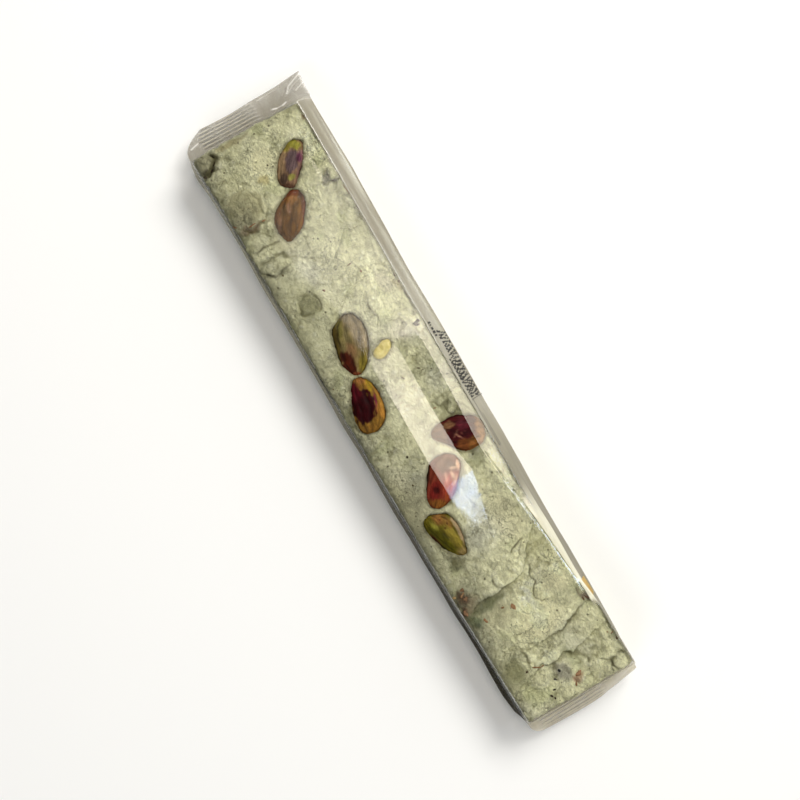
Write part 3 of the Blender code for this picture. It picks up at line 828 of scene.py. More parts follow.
kernel_faces = closed_tube(KERNEL_RINGS, KERNEL_SEGMENTS)
kernel_along, kernel_around = kernel_form(KERNEL_RINGS, KERNEL_SEGMENTS)
for number, (name, (skin, rib_depth, patches)) in enumerate(KERNEL_PAINT.items()):
    centre = kernel_place(name)
    length, width, turn = KERNEL_SIZES[name][:3]
    start, end = KERNEL_OUTLINES[name][:2]
    seed = 40 + 10 * number
    across = np.cos(kernel_around)
    upward = np.sin(kernel_around)
    left, right = kernel_outline(kernel_along, name)
    spine = (left + right) / 2.0
    girth = (left - right) / 2.0
    rise = np.where(upward > 0.0, KERNEL_DOME, KERNEL_HEIGHT - KERNEL_DOME)
    u = (start + end) / 2.0 + kernel_along * (end - start) / 2.0
    points = np.stack([
        u * length / 2.0,
        (spine + np.sign(across) * np.abs(across) ** 0.85 * girth) * width / 2.0,
        np.sign(upward) * np.abs(upward) ** 0.85 * np.minimum(girth, 1.0) ** 0.7 * rise,
    ], -1)
    lengthwise = points * np.array((0.35, 1.0, 1.0))
    wobble = noise(points, 5, seed) * 0.9
    ribs = -np.abs(np.cos(kernel_around * KERNEL_RIBS / 2.0 + wobble + 0.4)) ** 6
    streaks = noise(lengthwise, 0.9, seed + 1)
    dents = noise(points, 3.6, seed + 2)
    inward = rib_depth * 2.2 * ribs + 0.12 * streaks + 0.24 * dents + 0.08 * noise(points, 0.8, seed + 3)
    direction = np.stack([0.0 * u, across, upward], -1)
    points += direction * (inward * np.minimum(girth, 1.0))[:, None]

    v = points[:, 1] / (width / 2.0)
    ragged = 0.26 * noise(points, 1.6, seed + 4) + 0.26 * noise(lengthwise, 0.7, seed + 5)
    colours = coat(points, skin)
    for *spot, colour, softness in patches:
        far = in_ellipse(u, v, spot) + ragged
        cover = fade(far, 1.0 - softness, 1.0 + softness)
        colours = mix(colours, colour, cover)
    # The streaks and noise vary the skin's tone; the rib grooves are painted darker and the skin darkens
    # towards its outline: painted shade.
    shade = 1.0 + 0.30 * streaks + 0.24 * noise(points, 2.4, seed + 6) + 0.5 * ribs * rib_depth / 0.16
    painted_rim_shade = ease(np.abs(v - spine) / np.maximum(girth, 0.05), 0.84, 1)
    colours *= np.clip(shade * (1.0 - 0.35 * painted_rim_shade), 0.15, 1.6)[:, None]
    lie = np.concatenate([lengthwise * np.array((0.5, 1.0, 1.0)) + 20.0 * number], -1) * MM

    points[:, 2] = np.minimum(points[:, 2] + KERNEL_TOP - KERNEL_DOME, KERNEL_TOP)
    points = laid(points, centre, turn)
    kernel = make_piece(name + "_kernel", points, kernel_faces, kernel_look)
    store_colour(kernel, "tint", colours)
    store_values(kernel, "lie", "vector", lie)
    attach(kernel, "root")
    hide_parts(name)


# ---- The pale piece of nut -----------------------------------------------------------------------
# A skinned scrap of nut beside the third kernel: two soft lobes with a shallow groove between them,
# the colour of cream, pressed flush with the top.
PALE_RINGS = 40
PALE_SEGMENTS = 48
PALE_HALF_HEIGHT = 1.8

pale_look, node, place = new_material("pale_nut")
fleck_inputs = {"Vector": place, "Scale": 1400.0, "Detail": 4.0, "Roughness": 0.6}
fleck = node("ShaderNodeTexNoise", fleck_inputs).outputs["Fac"]
flecked = blended(1, layer("tint", "Color"), ranged(fleck, 0.3, 0.7, 0.92, 1.06), "MULTIPLY")
surfaced(flecked, 0.45, 0.4, raised(fleck, 0.3, 0.0001))

centre = kernel_place("pale_nut_piece")
length, width, turn = KERNEL_SIZES["pale_nut_piece"][:3]
start, end = KERNEL_OUTLINES["pale_nut_piece"][:2]
along, around = kernel_form(PALE_RINGS, PALE_SEGMENTS)
left, right = kernel_outline(along, "pale_nut_piece")
groove = hump(along + 0.08, 0.12)
fullness = np.minimum((left - right) / 2.0, 1.0)
points = np.stack([
    ((start + end) / 2.0 + along * (end - start) / 2.0) * length / 2.0,
    ((left + right) / 2.0 + np.cos(around) * (left - right) / 2.0) * width / 2.0,
    np.sin(around) * fullness**0.7 * (1.0 - 0.10 * groove) * PALE_HALF_HEIGHT,
], -1)
points += points * (0.05 * noise(points, 1.8, 131))[:, None]
colours = coat(points, (203, 187, 109))
# The groove between the lobes is painted darker: painted shade.
colours = mix(colours, (194, 177, 100), 0.5 * groove)
colours = mix(colours, (216, 205, 144), 0.6 * ease(noise(points, 1.3, 132), 0, 0.8))
points[:, 2] = points[:, 2] + KERNEL_TOP - 0.15 - PALE_HALF_HEIGHT
points = laid(points, centre, turn)
pale_nut = make_piece("pale_nut", points, closed_tube(PALE_RINGS, PALE_SEGMENTS), pale_look)
store_colour(pale_nut, "tint", colours)
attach(pale_nut, "root")
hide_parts("pale_nut_piece")


# ---- The clear film ------------------------------------------------------------------------------
# Thin clear flow-wrap film round the slab, sealed in a crimped fin at each end. It is drawn tight
# across the top in long flat facets with creases between them, and stands loose along both sides.
FILM_STATION = 0.52
FIN_THICKNESS = 0.45
FIN_HEIGHT = 7.2
FIN_ROOT = 1.6
HEAD_FIN_LENGTH = 9.5
FOOT_FIN_LENGTH = 7.9
FIN_STATION = 0.2
FOOT_BEND_RADIUS = 5.0
FOOT_BEND = math.radians(76.0)
HEAD_DROOP = 0.9
CRIMP_PITCH = 1.25
CRIMP_DEPTH = 0.2
ARC_POINTS = 5

# Film that lies against a nut shines less: how much less at each nut.
NUT_DULLING = {
    "pistachio_1": 0.3, "pistachio_2": 0.45, "pistachio_3": 0.4, "pistachio_4": 0.3,
    "pistachio_5": 0.12, "pistachio_6": 0.22, "pistachio_7": 0.3, "pale_nut_piece": 0.3,
}
# Painted highlights along folds of the fins, as pale milky lines: the line of the fold, its half width and
# how bright it is.
PAINTED_FOLD_HIGHLIGHTS = (
    (((-103.6, 15), (-104, 15.5), (-105.3, 16.5), (-107.2, 21.4)), 0.24, 1),
    (((-103.2, 15.4), (-104.4, 16.9), (-105.9, 21)), 0.16, 0.6),
    (((-103, 18), (-104.4, 21.8)), 0.22, 0.9),
    (((-101.5, 8.6), (-101.1, 9.9)), 0.28, 1),
    (((-101.1, 9.9), (-101, 12.2)), 0.14, 0.8),
    (((-101, 12.2), (-101.3, 13.4)), 0.28, 1),
    (((-103.2, -19.2), (-103.8, -16.6)), 0.28, 0.9),
    (((-106.2, 6), (-106.8, 14)), 0.2, 0.4),
)


def tube_edges(x):
    """The film's widest outline on the left and the right at x."""
    left = np.interp(
        x, (-98.4, 0.0, 30.0, 60.0, 90.0, 96.5, 100.4), (-21.3, -21.3, -21.0, -20.5, -20.3, -19.6, -18.0)
    )
    left = left - 1.0 * hump(x + 94.5, 4.5)
    right = np.interp(x, (-98.4, 0, 60, 80, 90, 100.4), (21.3, 21, 20.8, 20.5, 20.15, 20.15))
    return left, right


# The creases along the top: for each, where it runs across the bar and how high it is, at places along.
CREASE_PLACES = (
    -98, -74, -60, -46, -32, -21, -16.5, 0, 18, 25, 31, 41, 45, 52, 74, 99,
)
CREASE_ACROSS = (
    (-13, -12, -10, -9.8, -8, -4.8, -4.6, -4.3, -4.3, -3.9, -3.7, -2.6, -2.6, -4, -8, -9),
    (1, 1, 3, 5, 6, 5.5, 5.4, 5.2, 5.4, 6.6, 5.4, 2.6, 2.4, 2.4, 2, 1),
    (10, 11, 12, 12.7, 12.8, 13, 13, 12.8, 12, 12.4, 13.1, 14.2, 14.6, 15.25, 16.9, 17.4),
    (10.7, 11.7, 12.7, 13.4, 13.4, 13.6, 13.6, 13.4, 12.6, 13, 13.7, 14.8, 15.2, 15.85, 17.5, 18),
)
CREASE_HEIGHT = (
    (15.6, 15.7, 16, 16.1, 16.05, 16.02, 16.17, 16.2,
     16.2, 16.2, 16.18, 16.05, 15.75, 15.7, 15.6, 15.55),
    (15.65, 15.65, 15.8, 15.8, 15.8, 15.78, 15.58, 15.58,
     15.58, 15.58, 15.58, 15.6, 15.6, 15.6, 15.6, 15.55),
    (15.5, 15.5, 15.5, 15.54, 15.54, 15.54, 15.74, 15.74,
     15.74, 15.78, 15.82, 15.84, 15.83, 15.82, 15.7, 15.5),
    (15.48, 15.47, 15.47, 15.5, 15.5, 15.5, 15.7, 15.7,
     15.7, 15.65, 15.67, 15.69, 15.68, 15.67, 15.55, 15.46),
)
# For each corner of the film's cross-section: its radius, and the points along the flat that follows it.
CORNER_RADII = (1.6, 1.6, 1.5, 0.9, 0.45, 0.45, 0.3, 0.3, 0.7, 1.5)
STRAIGHT_POINTS = (26, 12, 12, 30, 22, 18, 6, 10, 12, 12)


def film_corners(x, squeeze, left, right):
    """The corners of the film's cross-section at each x; squeeze is 0 on the slab and 1 in a fin."""
    half = FIN_THICKNESS / 2.0
    slab_left, slab_right = slab_edges(x)
    across = [slab_right + 0.5, slab_left - 0.5, left, slab_left - 0.35]
    height = [0.06, 0.06, 7.6, 15.5]
    for track, level in zip(CREASE_ACROSS, CREASE_HEIGHT):
        across.append(np.interp(x, CREASE_PLACES, track))
        height.append(np.interp(x, CREASE_PLACES, level))
    across += [slab_right + 0.35, right]
    height += [np.interp(x, (-60, -46, 31, 52, 99), (15.44, 15.42, 15.42, 15.35, 15.3)), 7.6]
    # In a fin the film lies flat: how far across it each corner comes, and which face it is on.
    span = [0.985, 0.015, 0.0, 0.03, 0.25, 0.52, 0.78, 0.83, 0.97, 1.0]
    flat = [-half, -half, 0.0, half, half, half, half, half, half, 0.0]
    corners = []
    for index in range(len(across)):
        spread = left + (right - left) * span[index]
        corner_y = across[index] + (spread - across[index]) * squeeze
        corner_z = height[index] + (FIN_HEIGHT + flat[index] - height[index]) * squeeze
        corners.append(np.stack([corner_y, corner_z + 0.0 * x], -1))
    return np.stack(corners, 1)


def rounded_rings(corners):
    """Rings of (y, z) points round the corners of every cross-section, with each corner cut short."""
    count = corners.shape[1]
    starts = []
    ends = []
    for index in range(count):
        corner = corners[:, index]
        for group, other in ((starts, corners[:, index - 1]), (ends, corners[:, (index + 1) % count])):
            arm = other - corner
            length = np.linalg.norm(arm, axis=1)[:, None]
            cut = np.minimum(CORNER_RADII[index], 0.45 * length)
            group.append(corner + arm / np.maximum(length, 1e-9) * cut)
    ring = []
    for index in range(count):
        for share in np.linspace(0.0, 1.0, ARC_POINTS):
            first = starts[index] * (1.0 - share) + corners[:, index] * share
            second = corners[:, index] * (1.0 - share) + ends[index] * share
            ring.append(first * (1.0 - share) + second * share)
        following = starts[(index + 1) % count]
        for share in np.linspace(0.0, 1.0, STRAIGHT_POINTS[index] + 2)[1:-1]:
            ring.append(ends[index] * (1.0 - share) + following * share)
    return np.stack(ring, 1)


def fin_stations(at_head):
    """Distances out along a fin."""
    length = HEAD_FIN_LENGTH if at_head else FOOT_FIN_LENGTH
    root = np.linspace(0.0, FIN_ROOT, 9)[1:]
    rest = np.linspace(FIN_ROOT, length, round((length - FIN_ROOT) / FIN_STATION) + 1)[1:]
    return np.concatenate([root, rest])


body_x = np.linspace(head_face, foot_face, round((foot_face - head_face) / FILM_STATION) + 1)
head_out = fin_stations(True)[::-1]
foot_out = fin_stations(False)
station_x = np.concatenate([head_face - head_out, body_x, foot_face + foot_out])
out = np.concatenate([head_out, np.zeros(len(body_x)), foot_out])
at_head = station_x < 0.0
squeeze = ease(out, 0, FIN_ROOT)
left, right = tube_edges(station_x)
# The fins narrow towards their tips: by how much on each side, and over what length.
to_tip = np.where(at_head, HEAD_FIN_LENGTH, FOOT_FIN_LENGTH) - out
left_cut = np.where(at_head, 7.2, 3.0)
left_start = np.where(at_head, 6.6, 6.0)
right_cut = np.where(at_head, -0.6, 0.4)
right_start = np.where(at_head, 6.0, 3.0)
left = left + left_cut * np.clip(1.0 - to_tip / left_start, 0, 1) ** 2
right = right - right_cut * np.clip(1.0 - to_tip / right_start, 0, 1) ** 2
rings = rounded_rings(film_corners(station_x, squeeze, left, right))
stations, around_count = rings.shape[:2]
film_x, out_all, head_all, squeeze_all = (
    np.repeat(values[:, None], around_count, axis=1) for values in (station_x, out, at_head, squeeze)
)
film_y = rings[:, :, 0]
film_z = rings[:, :, 1]

# Crimps run across each fin and fade out to its right.
crimped = squeeze_all * np.where(
    head_all,
    fade(film_y, 2, 5) * ease(film_y, -17.5, -14.5),
    fade(film_y, 6, 9) * ease(film_y, -16, -12),
)
crimped *= ease(out_all, FIN_ROOT, FIN_ROOT + 0.8)
slant = 0.03 * film_y
crimp = CRIMP_DEPTH * crimped * np.sin(math.tau * (out_all + slant) / CRIMP_PITCH)
fin_length = np.where(head_all, HEAD_FIN_LENGTH, FOOT_FIN_LENGTH)
tip_trim = np.where(
    head_all,
    -0.9 * (1.0 - (film_y / 21.1) ** 2),
    -3.4 * np.clip(film_y / 20.6, 0, 1) ** 2,
) * (out_all / fin_length) ** 2
arc = np.clip((out_all - FIN_ROOT) / FOOT_BEND_RADIUS, 0, FOOT_BEND)
rest = np.maximum(out_all - FIN_ROOT - arc * FOOT_BEND_RADIUS, 0.0)
foot_along = np.minimum(out_all, FIN_ROOT) + FOOT_BEND_RADIUS * np.sin(arc) + rest * np.cos(arc)
foot_drop = FOOT_BEND_RADIUS * (1.0 - np.cos(arc)) + rest * np.sin(arc)
above = film_z - FIN_HEIGHT + crimp
bent = (~head_all) & (out_all > FIN_ROOT)
head_bend = head_all & (out_all > 0.0)
wave = 0.35 * np.sin(film_y / 4.1 + 0.7) + 0.25 * np.sin(film_y / 2.3)
film_x = np.where(head_bend, head_face - out_all - tip_trim, film_x)
film_z = np.where(
    head_bend,
    film_z + crimp - HEAD_DROOP * (out_all / HEAD_FIN_LENGTH) ** 2 + wave * (out_all / fin_length) ** 2,
    film_z,
)
film_x = np.where(bent, foot_face + foot_along + tip_trim + above * np.sin(arc), film_x)
film_z = np.where(bent, FIN_HEIGHT - foot_drop + above * np.cos(arc), film_z)
film_points = np.stack([film_x.ravel(), film_y.ravel(), film_z.ravel()], -1)

# Slack: soft lengthwise wrinkles on the sides, and a very slight unevenness on the tight top.
beside = fade(film_points[:, 2], 13, 15.3)
long_wrinkle = noise(film_points * np.array((0.12, 1, 0.6)), 2.6, 61)
slack = beside * ease(film_points[:, 2], 0.3, 2) * (1.0 - squeeze_all.ravel())
side_way = np.sign(film_points[:, 1])
film_points[:, 1] += side_way * slack * (0.35 * long_wrinkle + 0.3 * noise(film_points, 14, 62))
tight = ease(film_points[:, 2], 15, 15.4) * (1.0 - squeeze_all.ravel())
film_points[:, 2] += tight * 0.025 * noise(film_points, 9, 63)
film_points[:, 2] = np.maximum(film_points[:, 2], 0.04)

film_faces = []
for row in range(stations - 1):
    for step in range(around_count):
        after = (step + 1) % around_count
        here = row * around_count
        following = here + around_count
        film_faces.append((here + step, following + step, following + after, here + after))
# Each tip is closed by one long thin face between its under side and its upper side.
head_tip = list(range(around_count))
foot_tip = [(stations - 1) * around_count + step for step in reversed(head_tip)]

film_look, node, place = new_material("clear_film")
lengthways = node("ShaderNodeMapping", {"Vector": place, "Scale": (60.0, 420.0, 200.0)}).outputs["Vector"]
streak = node("ShaderNodeTexNoise", {"Vector": lengthways, "Scale": 1.0, "Detail": 3.0}).outputs["Fac"]
facing = node("ShaderNodeLayerWeight", {"Blend": 0.5}).outputs["Facing"]
# The side walls turn clearer and paler where they are seen square on, so their colour depends on the
# angle of view. To make it constant, take square_on out of haze and out of the walls' milky colour, which
# carries painted shade.
square_on = joined("MULTIPLY", ranged(facing, 0.42, 0.58, 1, 0), layer("walls"))
haze = joined("MULTIPLY", layer("haze"), ranged(streak, 0.3, 0.7, 0.84, 1.12))
haze = joined("MULTIPLY", haze, joined("SUBTRACT", 1.0, joined("MULTIPLY", square_on, 0.68)))
wall_tone_and_shade = blended(joined("MULTIPLY", square_on, 0.85), layer("film_tone_and_shade", "Color"), opaque(196, 192, 168))
clear = node("ShaderNodeBsdfTransparent", {"Color": (0.99, 0.99, 0.985, 1.0)}).outputs["BSDF"]
milky_inputs = {"Base Color": wall_tone_and_shade, "Roughness": 0.5, "Specular IOR Level": 0.03}
milky = node("ShaderNodeBsdfPrincipled", milky_inputs).outputs["BSDF"]
hazed = node("ShaderNodeMixShader", {"Fac": haze, 1: clear, 2: milky}).outputs["Shader"]
mirror = ranged(joined("POWER", facing, 5), 0, 1, 0.085, 0.6)
soft = layer("softness")
pucker = raised(speckle(1300, 3, 0, 1), joined("MULTIPLY", soft, 3), 0.00004)
gloss = node("ShaderNodeBsdfGlossy", {"Roughness": soft, "Normal": pucker}).outputs["BSDF"]
gleaming = {"Fac": joined("MULTIPLY", mirror, layer("gleam")), 1: hazed, 2: gloss}
whole = node("ShaderNodeMixShader", gleaming).outputs["Shader"]
node("ShaderNodeOutputMaterial", {"Surface": whole})

film = make_piece("clear_film", film_points, film_faces + [head_tip, foot_tip], film_look)

# Folded and slanted film looks milky. Its colour also holds painted shade: it darkens on the left towards
# the foot for the shade beside the slab, and is beige on the right and grey in the fins, paler in the foot
# fin, for the shaded table seen through it. Each crimp is painted dark and pale along its flanks, painted
# shade and highlight, and painted highlights run where the film is folded over at the corners.
flat_x, flat_y, flat_z = film_x.ravel(), film_points[:, 1], film_points[:, 2]
in_fin = squeeze_all.ravel()
left_side = fade(flat_y, -2, 2)
left_haze = np.interp(flat_x, (-98, -60, 0, 40, 70, 99), (0.60, 0.74, 0.8, 0.84, 0.9, 0.9))
right_haze = np.interp(flat_x, (-98, -50, -20, 10, 35, 99), (0.86, 0.82, 0.78, 0.86, 0.92, 0.88))
side_haze = right_haze + (left_haze - right_haze) * left_side
to_foot = ease(flat_x, -70, 72)
# On the left the film's milky colour darkens towards the foot: painted shade beside the slab.
left_painted_shade = mix(coat(film_points, (158, 154, 134)), (38, 32, 12), to_foot)
film_tone_and_shade = coat(film_points, (136, 130, 113))
film_tone_and_shade = mix(film_tone_and_shade, (152, 147, 131), ease(flat_x, -50, -30))
film_tone_and_shade = mix(film_tone_and_shade, (130, 125, 108), ease(flat_x, 5, 35))
film_tone_and_shade += (left_painted_shade - film_tone_and_shade) * left_side[:, None]
fin_tone_and_shade = coat(film_points, (164, 157, 140))
phase = np.sin(math.tau * (out_all + slant) / CRIMP_PITCH).ravel()
crimp_shading_breakup = 0.55 + 0.45 * ease(noise(film_points, 5, 64), -0.4, 0.5)
fin_tone_and_shade = mix(fin_tone_and_shade, (228, 218, 190), 0.85 * (flat_x > 0.0))
crimp_shading_breakup *= np.where(flat_x > 0.0, 0.7, 1.0)
# Each crimp is painted dark on one flank and pale on the other, broken up by noise and fainter in the foot
# fin: painted shade and highlight.
fin_tone_and_shade = mix(fin_tone_and_shade, (88, 80, 60), crimp_shading_breakup * crimped.ravel() * ease(-phase, 0, 1))
fin_tone_and_shade = mix(fin_tone_and_shade, (206, 198, 176), crimp_shading_breakup * crimped.ravel() * ease(phase, 0.2, 1))
past_end = ease(np.maximum(head_face - flat_x, flat_x - foot_face), -0.7, 0.1)
film_tone_and_shade += (fin_tone_and_shade - film_tone_and_shade) * past_end[:, None]
slab_left, slab_right = slab_edges(flat_x)
past_edge = np.maximum(ease(flat_y - slab_right, -0.5, 0), beside * ease(slab_left - flat_y, -0.6, 0.2))
haze_amount = 0.002 + past_edge * side_haze * (1.0 - past_end) + 0.46 * past_end
# A pale milky band is painted along the film's right shoulder, beside the last crease: painted highlight.
painted_shoulder_highlight = ease(flat_y - np.interp(flat_x, CREASE_PLACES, CREASE_ACROSS[3]), 0, 0.4) * (flat_z > 13)
painted_shoulder_highlight *= ease(flat_x, 34, 50) * fade(flat_x, 76, 80)
haze_amount = haze_amount + (0.76 - haze_amount) * painted_shoulder_highlight
film_tone_and_shade = mix(film_tone_and_shade, (240, 236, 212), painted_shoulder_highlight)
# The fold lines are painted pale and milky: painted highlights.
for path, half_width, strength in PAINTED_FOLD_HIGHLIGHTS:
    far = from_path(flat_x, flat_y, path)[0]
    fold_highlight = strength * hump(far, half_width) * (flat_z > FIN_HEIGHT - 6)
    haze_amount = haze_amount + (0.9 - haze_amount) * fold_highlight
    film_tone_and_shade = mix(film_tone_and_shade, (244, 241, 236), fold_highlight)
softness = 0.05 + 0.22 * ease(flat_x, -78, -68) * fade(flat_x, -30, -17)
in_glare = ease(flat_x, 26, 34) * fade(flat_x, 40, 50)
softness += 0.08 * in_glare * fade(np.abs(flat_y), 5, 9) + 0.2 * in_fin
gleam = 1.0 - beside * (0.5 + 0.45 * left_side) * (1.0 - in_fin)
gleam *= 1.0 - 0.8 * ease(flat_y, 16, 16.8) * fade(flat_x, 20, 45) * (1.0 - in_fin)
veil_left = np.interp(flat_x, (-72, -55, -36, -16), (-9.8, -9.2, -4.9, -4.6))
off_veil = fade(flat_y - veil_left, -0.8, 0.8)
gleam *= 1.0 - 0.9 * off_veil * ease(flat_x, -76, -71) * fade(flat_x, -17, -14)
in_middle = fade(np.abs(flat_y - 0.5), 9, 10.5)
gleam *= 1.0 - 0.35 * in_middle * ease(flat_x, 24, 26) * fade(flat_x, 29, 32)
gleam *= 1.0 - 0.95 * in_middle * ease(flat_x, 39.5, 41.5) * fade(flat_x, 52, 56)
glare_right = np.interp(flat_x, (26, 31, 36, 41), (5.6, 4.8, 3.2, 2.6))
glare_left = np.interp(flat_x, (26, 31, 36, 41), (-4.2, -3.4, -1.6, -0.4))
fray = 0.9 * noise(film_points, 2.5, 65)
outside = np.maximum(flat_y - glare_right, glare_left - flat_y) + fray
gleam *= 1.0 - 0.8 * in_middle * ease(outside, -0.6, 1) * ease(flat_x, 28, 31) * (flat_x < 60)
gleam *= 1.0 - 0.4 * in_middle * fade(flat_x, -12, -3) * (flat_x > -20)
for name, dulling in NUT_DULLING.items():
    gleam *= 1.0 - dulling * fade(off_kernel(flat_x, flat_y, name), -0.7, 0.3) * (flat_z > 14)
walls = np.clip(past_edge * fade(flat_z, 10.5, 13) + past_end, 0, 1) * (1.0 - in_fin)
for label, amounts in (("haze", haze_amount), ("softness", softness), ("gleam", gleam), ("walls", walls)):
    store_values(film, label, "value", amounts)
store_colour(film, "film_tone_and_shade", film_tone_and_shade)
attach(film, "root")
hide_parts("wrapped_slab")


# ---- The flecks of skin in the nougat ------------------------------------------------------------
# Scraps of pistachio skin stirred into the mix: red-brown and maroon flakes pressed into the top,
# and a peppering of tiny dark specks all round. Each is a thin curled scrap lying in the surface.
FLAKE_THICKNESS = 0.22
FLAKE_SCALE = 0.88
FLAKE_RINGS = 7
FLAKE_SEGMENTS = 14
# Each flake: place along and across, length, width, turn, colour.
FLAKES = (
    (-44.2, 7.6, 1.5, 0.8, 140, (176, 84, 48)),
    (-47.6, 5.6, 1.9, 0.35, 100, (112, 84, 62)),
    (-44.5, -5.4, 1.2, 0.9, 20, (104, 70, 58)),
    (-93, 16.2, 1.2, 1, 30, (150, 104, 44)),
    (-72, 13.8, 1.3, 0.5, 60, (62, 58, 46)),
    # This large dark scrap lies in the small hollow beside it: painted shade of the hollow.
    (-22.2, 14.1, 2.5, 2.2, 20, (24, 18, 18)),
    (-20.5, 8.5, 0.7, 0.6, 0, (38, 32, 22)),
    (-9.8, 7.7, 1.3, 0.5, 50, (52, 44, 26)),
    (-8.8, 8.6, 1.4, 0.3, 100, (58, 48, 28)),
    (-9.6, 2.1, 1.7, 0.6, 30, (118, 112, 84)),
    (11.9, -8.8, 0.8, 0.7, 0, (36, 30, 20)),
    (-86, -1.2, 0.8, 0.5, 20, (58, 50, 32)),
    (-54.5, -13.9, 0.8, 0.6, 0, (60, 54, 34)),
    (-24.2, 10.3, 0.6, 0.5, 0, (52, 46, 32)),
    (-59, 0.9, 0.6, 0.5, 0, (58, 52, 36)),
    (55.2, -14.4, 1.9, 1.3, 70, (92, 40, 22)),
    (56.6, -15.4, 2.2, 0.8, 120, (136, 76, 40)),
    (58.3, -14.8, 2.4, 2, 40, (96, 42, 24)),
    (61.9, -17, 2, 1.5, 20, (128, 60, 38)),
    (56, -17.8, 1.2, 1, 60, (178, 140, 62)),
    (67.2, -3.7, 2.3, 1.5, 10, (168, 96, 60)),
    (66.8, -13, 2.2, 0.8, 20, (150, 92, 62)),
    (66, -6.4, 1.2, 0.6, 70, (136, 94, 62)),
    (58.2, 17.3, 1, 0.9, 0, (168, 84, 46)),
    (43.6, 17.3, 1.5, 0.8, 10, (132, 96, 80)),
    (50, 17.5, 1.2, 0.5, 80, (124, 90, 66)),
    (74.2, 17.8, 2.6, 1.1, 15, (96, 56, 42)),
    (76, 17.4, 2, 0.8, 40, (72, 44, 34)),
    (75.6, 16, 1.6, 0.6, 5, (86, 58, 42)),
    (86.8, -6.6, 2.4, 0.5, 60, (140, 96, 66)),
    (87.4, -4.6, 2, 0.45, 100, (146, 100, 70)),
    (94.6, 3.6, 2.6, 1.3, 110, (160, 104, 78)),
    (96.9, 1.3, 1.6, 0.6, 150, (132, 52, 36)),
    (88, 17.3, 1.5, 0.7, 40, (168, 90, 66)),
    (89, 18.5, 1.4, 0.4, 110, (156, 78, 58)),
    (91.3, 18.9, 0.9, 0.7, 0, (66, 34, 28)),
    (90.9, -1.2, 1, 0.8, 0, (46, 46, 44)),
    (93, -3.6, 1.4, 0.8, 30, (62, 62, 56)),
    (95.2, -5.6, 1.8, 0.6, 70, (48, 44, 34)),
    (96.6, -7, 1.2, 0.7, 20, (42, 36, 26)),
    (97.6, -6.4, 0.9, 0.6, 0, (40, 34, 24)),
    (86.5, -10, 1, 0.8, 0, (66, 56, 38)),
    (-92.1, -19.5, 1.6, 1, 20, (30, 20, 14)),
    (-96.8, -14.4, 2.6, 0.45, 25, (40, 22, 14)),
    (-94.9, -14.8, 2.4, 0.5, 120, (40, 24, 14)),
    (-93.2, -16.7, 1.4, 0.9, 120, (28, 20, 12)),
    (-72.4, -14, 3, 0.5, 95, (124, 62, 38)),
    (-72.3, -10.6, 1.6, 0.8, 90, (176, 84, 52)),
    (-74.4, -19, 2.2, 0.5, 40, (100, 58, 38)),
    (-62, 16.2, 5, 0.5, 2, (140, 92, 70)),
    (3.2, 5.9, 1, 0.5, 80, (190, 150, 116)),
    (20.2, -11.6, 0.7, 0.5, 0, (74, 66, 44)),
    (-74.6, 13.2, 1.6, 0.4, 150, (70, 68, 58)),
    (-38.4, 15.5, 2.2, 0.4, 8, (92, 60, 46)),
    (-35.6, 15.7, 1.4, 0.5, 160, (110, 64, 48)),
    (-31, 15.9, 3.4, 0.3, 4, (84, 60, 46)),
    (-67.6, 15.8, 3.6, 0.4, 6, (128, 84, 62)),
)

flake_look, node, place = new_material("skin_flakes")
mottling = speckle(2600, 4, 0.3, 0.7, 0.72, 1.25)
surfaced(blended(1.0, layer("tint", "Color"), mottling, "MULTIPLY"), 0.55, 0.2)

top_points = slab_points[on_top > 0.6]
flake_points = []
flake_faces = []
flake_colours = []
along, around = kernel_form(FLAKE_RINGS, FLAKE_SEGMENTS)
girth = np.sqrt(np.clip(1.0 - along**2, 0, 1))
scrap_faces = closed_tube(FLAKE_RINGS, FLAKE_SEGMENTS)
for index, (at_x, at_y, long, wide, turn, colour) in enumerate(FLAKES):
    nearby = np.argmin(np.hypot(top_points[:, 0] - at_x, top_points[:, 1] - at_y))
    long, wide = FLAKE_SCALE * long, FLAKE_SCALE * wide
    shape = np.stack([along * long / 2.0, girth * np.cos(around) * wide / 2.0, girth * np.sin(around)], -1)
    shape[:, :2] *= (1.0 + 0.7 * noise(shape + 9.0 * index, 0.8, 71))[:, None]
    shape[:, 2] *= FLAKE_THICKNESS / 2.0
    curl = 0.12 * noise(shape * np.array((1, 1, 0)) + 5.0 * index, 1, 72)
    flake_faces += [tuple(index * len(along) + corner for corner in face) for face in scrap_faces]
    mottle = 1.0 + 0.35 * noise(shape + 7.0 * index, 0.5, 73)
    shape[:, 2] += min(top_points[nearby, 2], SLAB_CEILING - 0.16) + 0.02 + curl
    flake_points.append(laid(shape, (at_x, at_y), turn))
    warmth = min(1.0, max(0.0, (colour[0] - colour[2]) / 120.0))
    dulled = linear(*colour) * (1.0 - 0.8 * warmth) + linear(134, 116, 84) * 0.8 * warmth
    flake_colours.append(dulled[None, :] * mottle[:, None])
flakes = make_piece("skin_flakes", np.concatenate(flake_points), flake_faces, flake_look)
store_colour(flakes, "tint", np.concatenate(flake_colours))
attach(flakes, "root")
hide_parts("wrapped_slab")

# The specks are scattered at random over the whole of the slab's skin.
SPECKS_PER_SQUARE_METRE = 34000.0
SPECK_SIZE = (0.10, 0.34)

speck_look, node, place = new_material("dark_specks")
speck_tone = blended(speckle(300, 2, 0.35, 0.65), opaque(50, 42, 26), opaque(104, 74, 46))
surfaced(speck_tone, 0.6, 0.2)


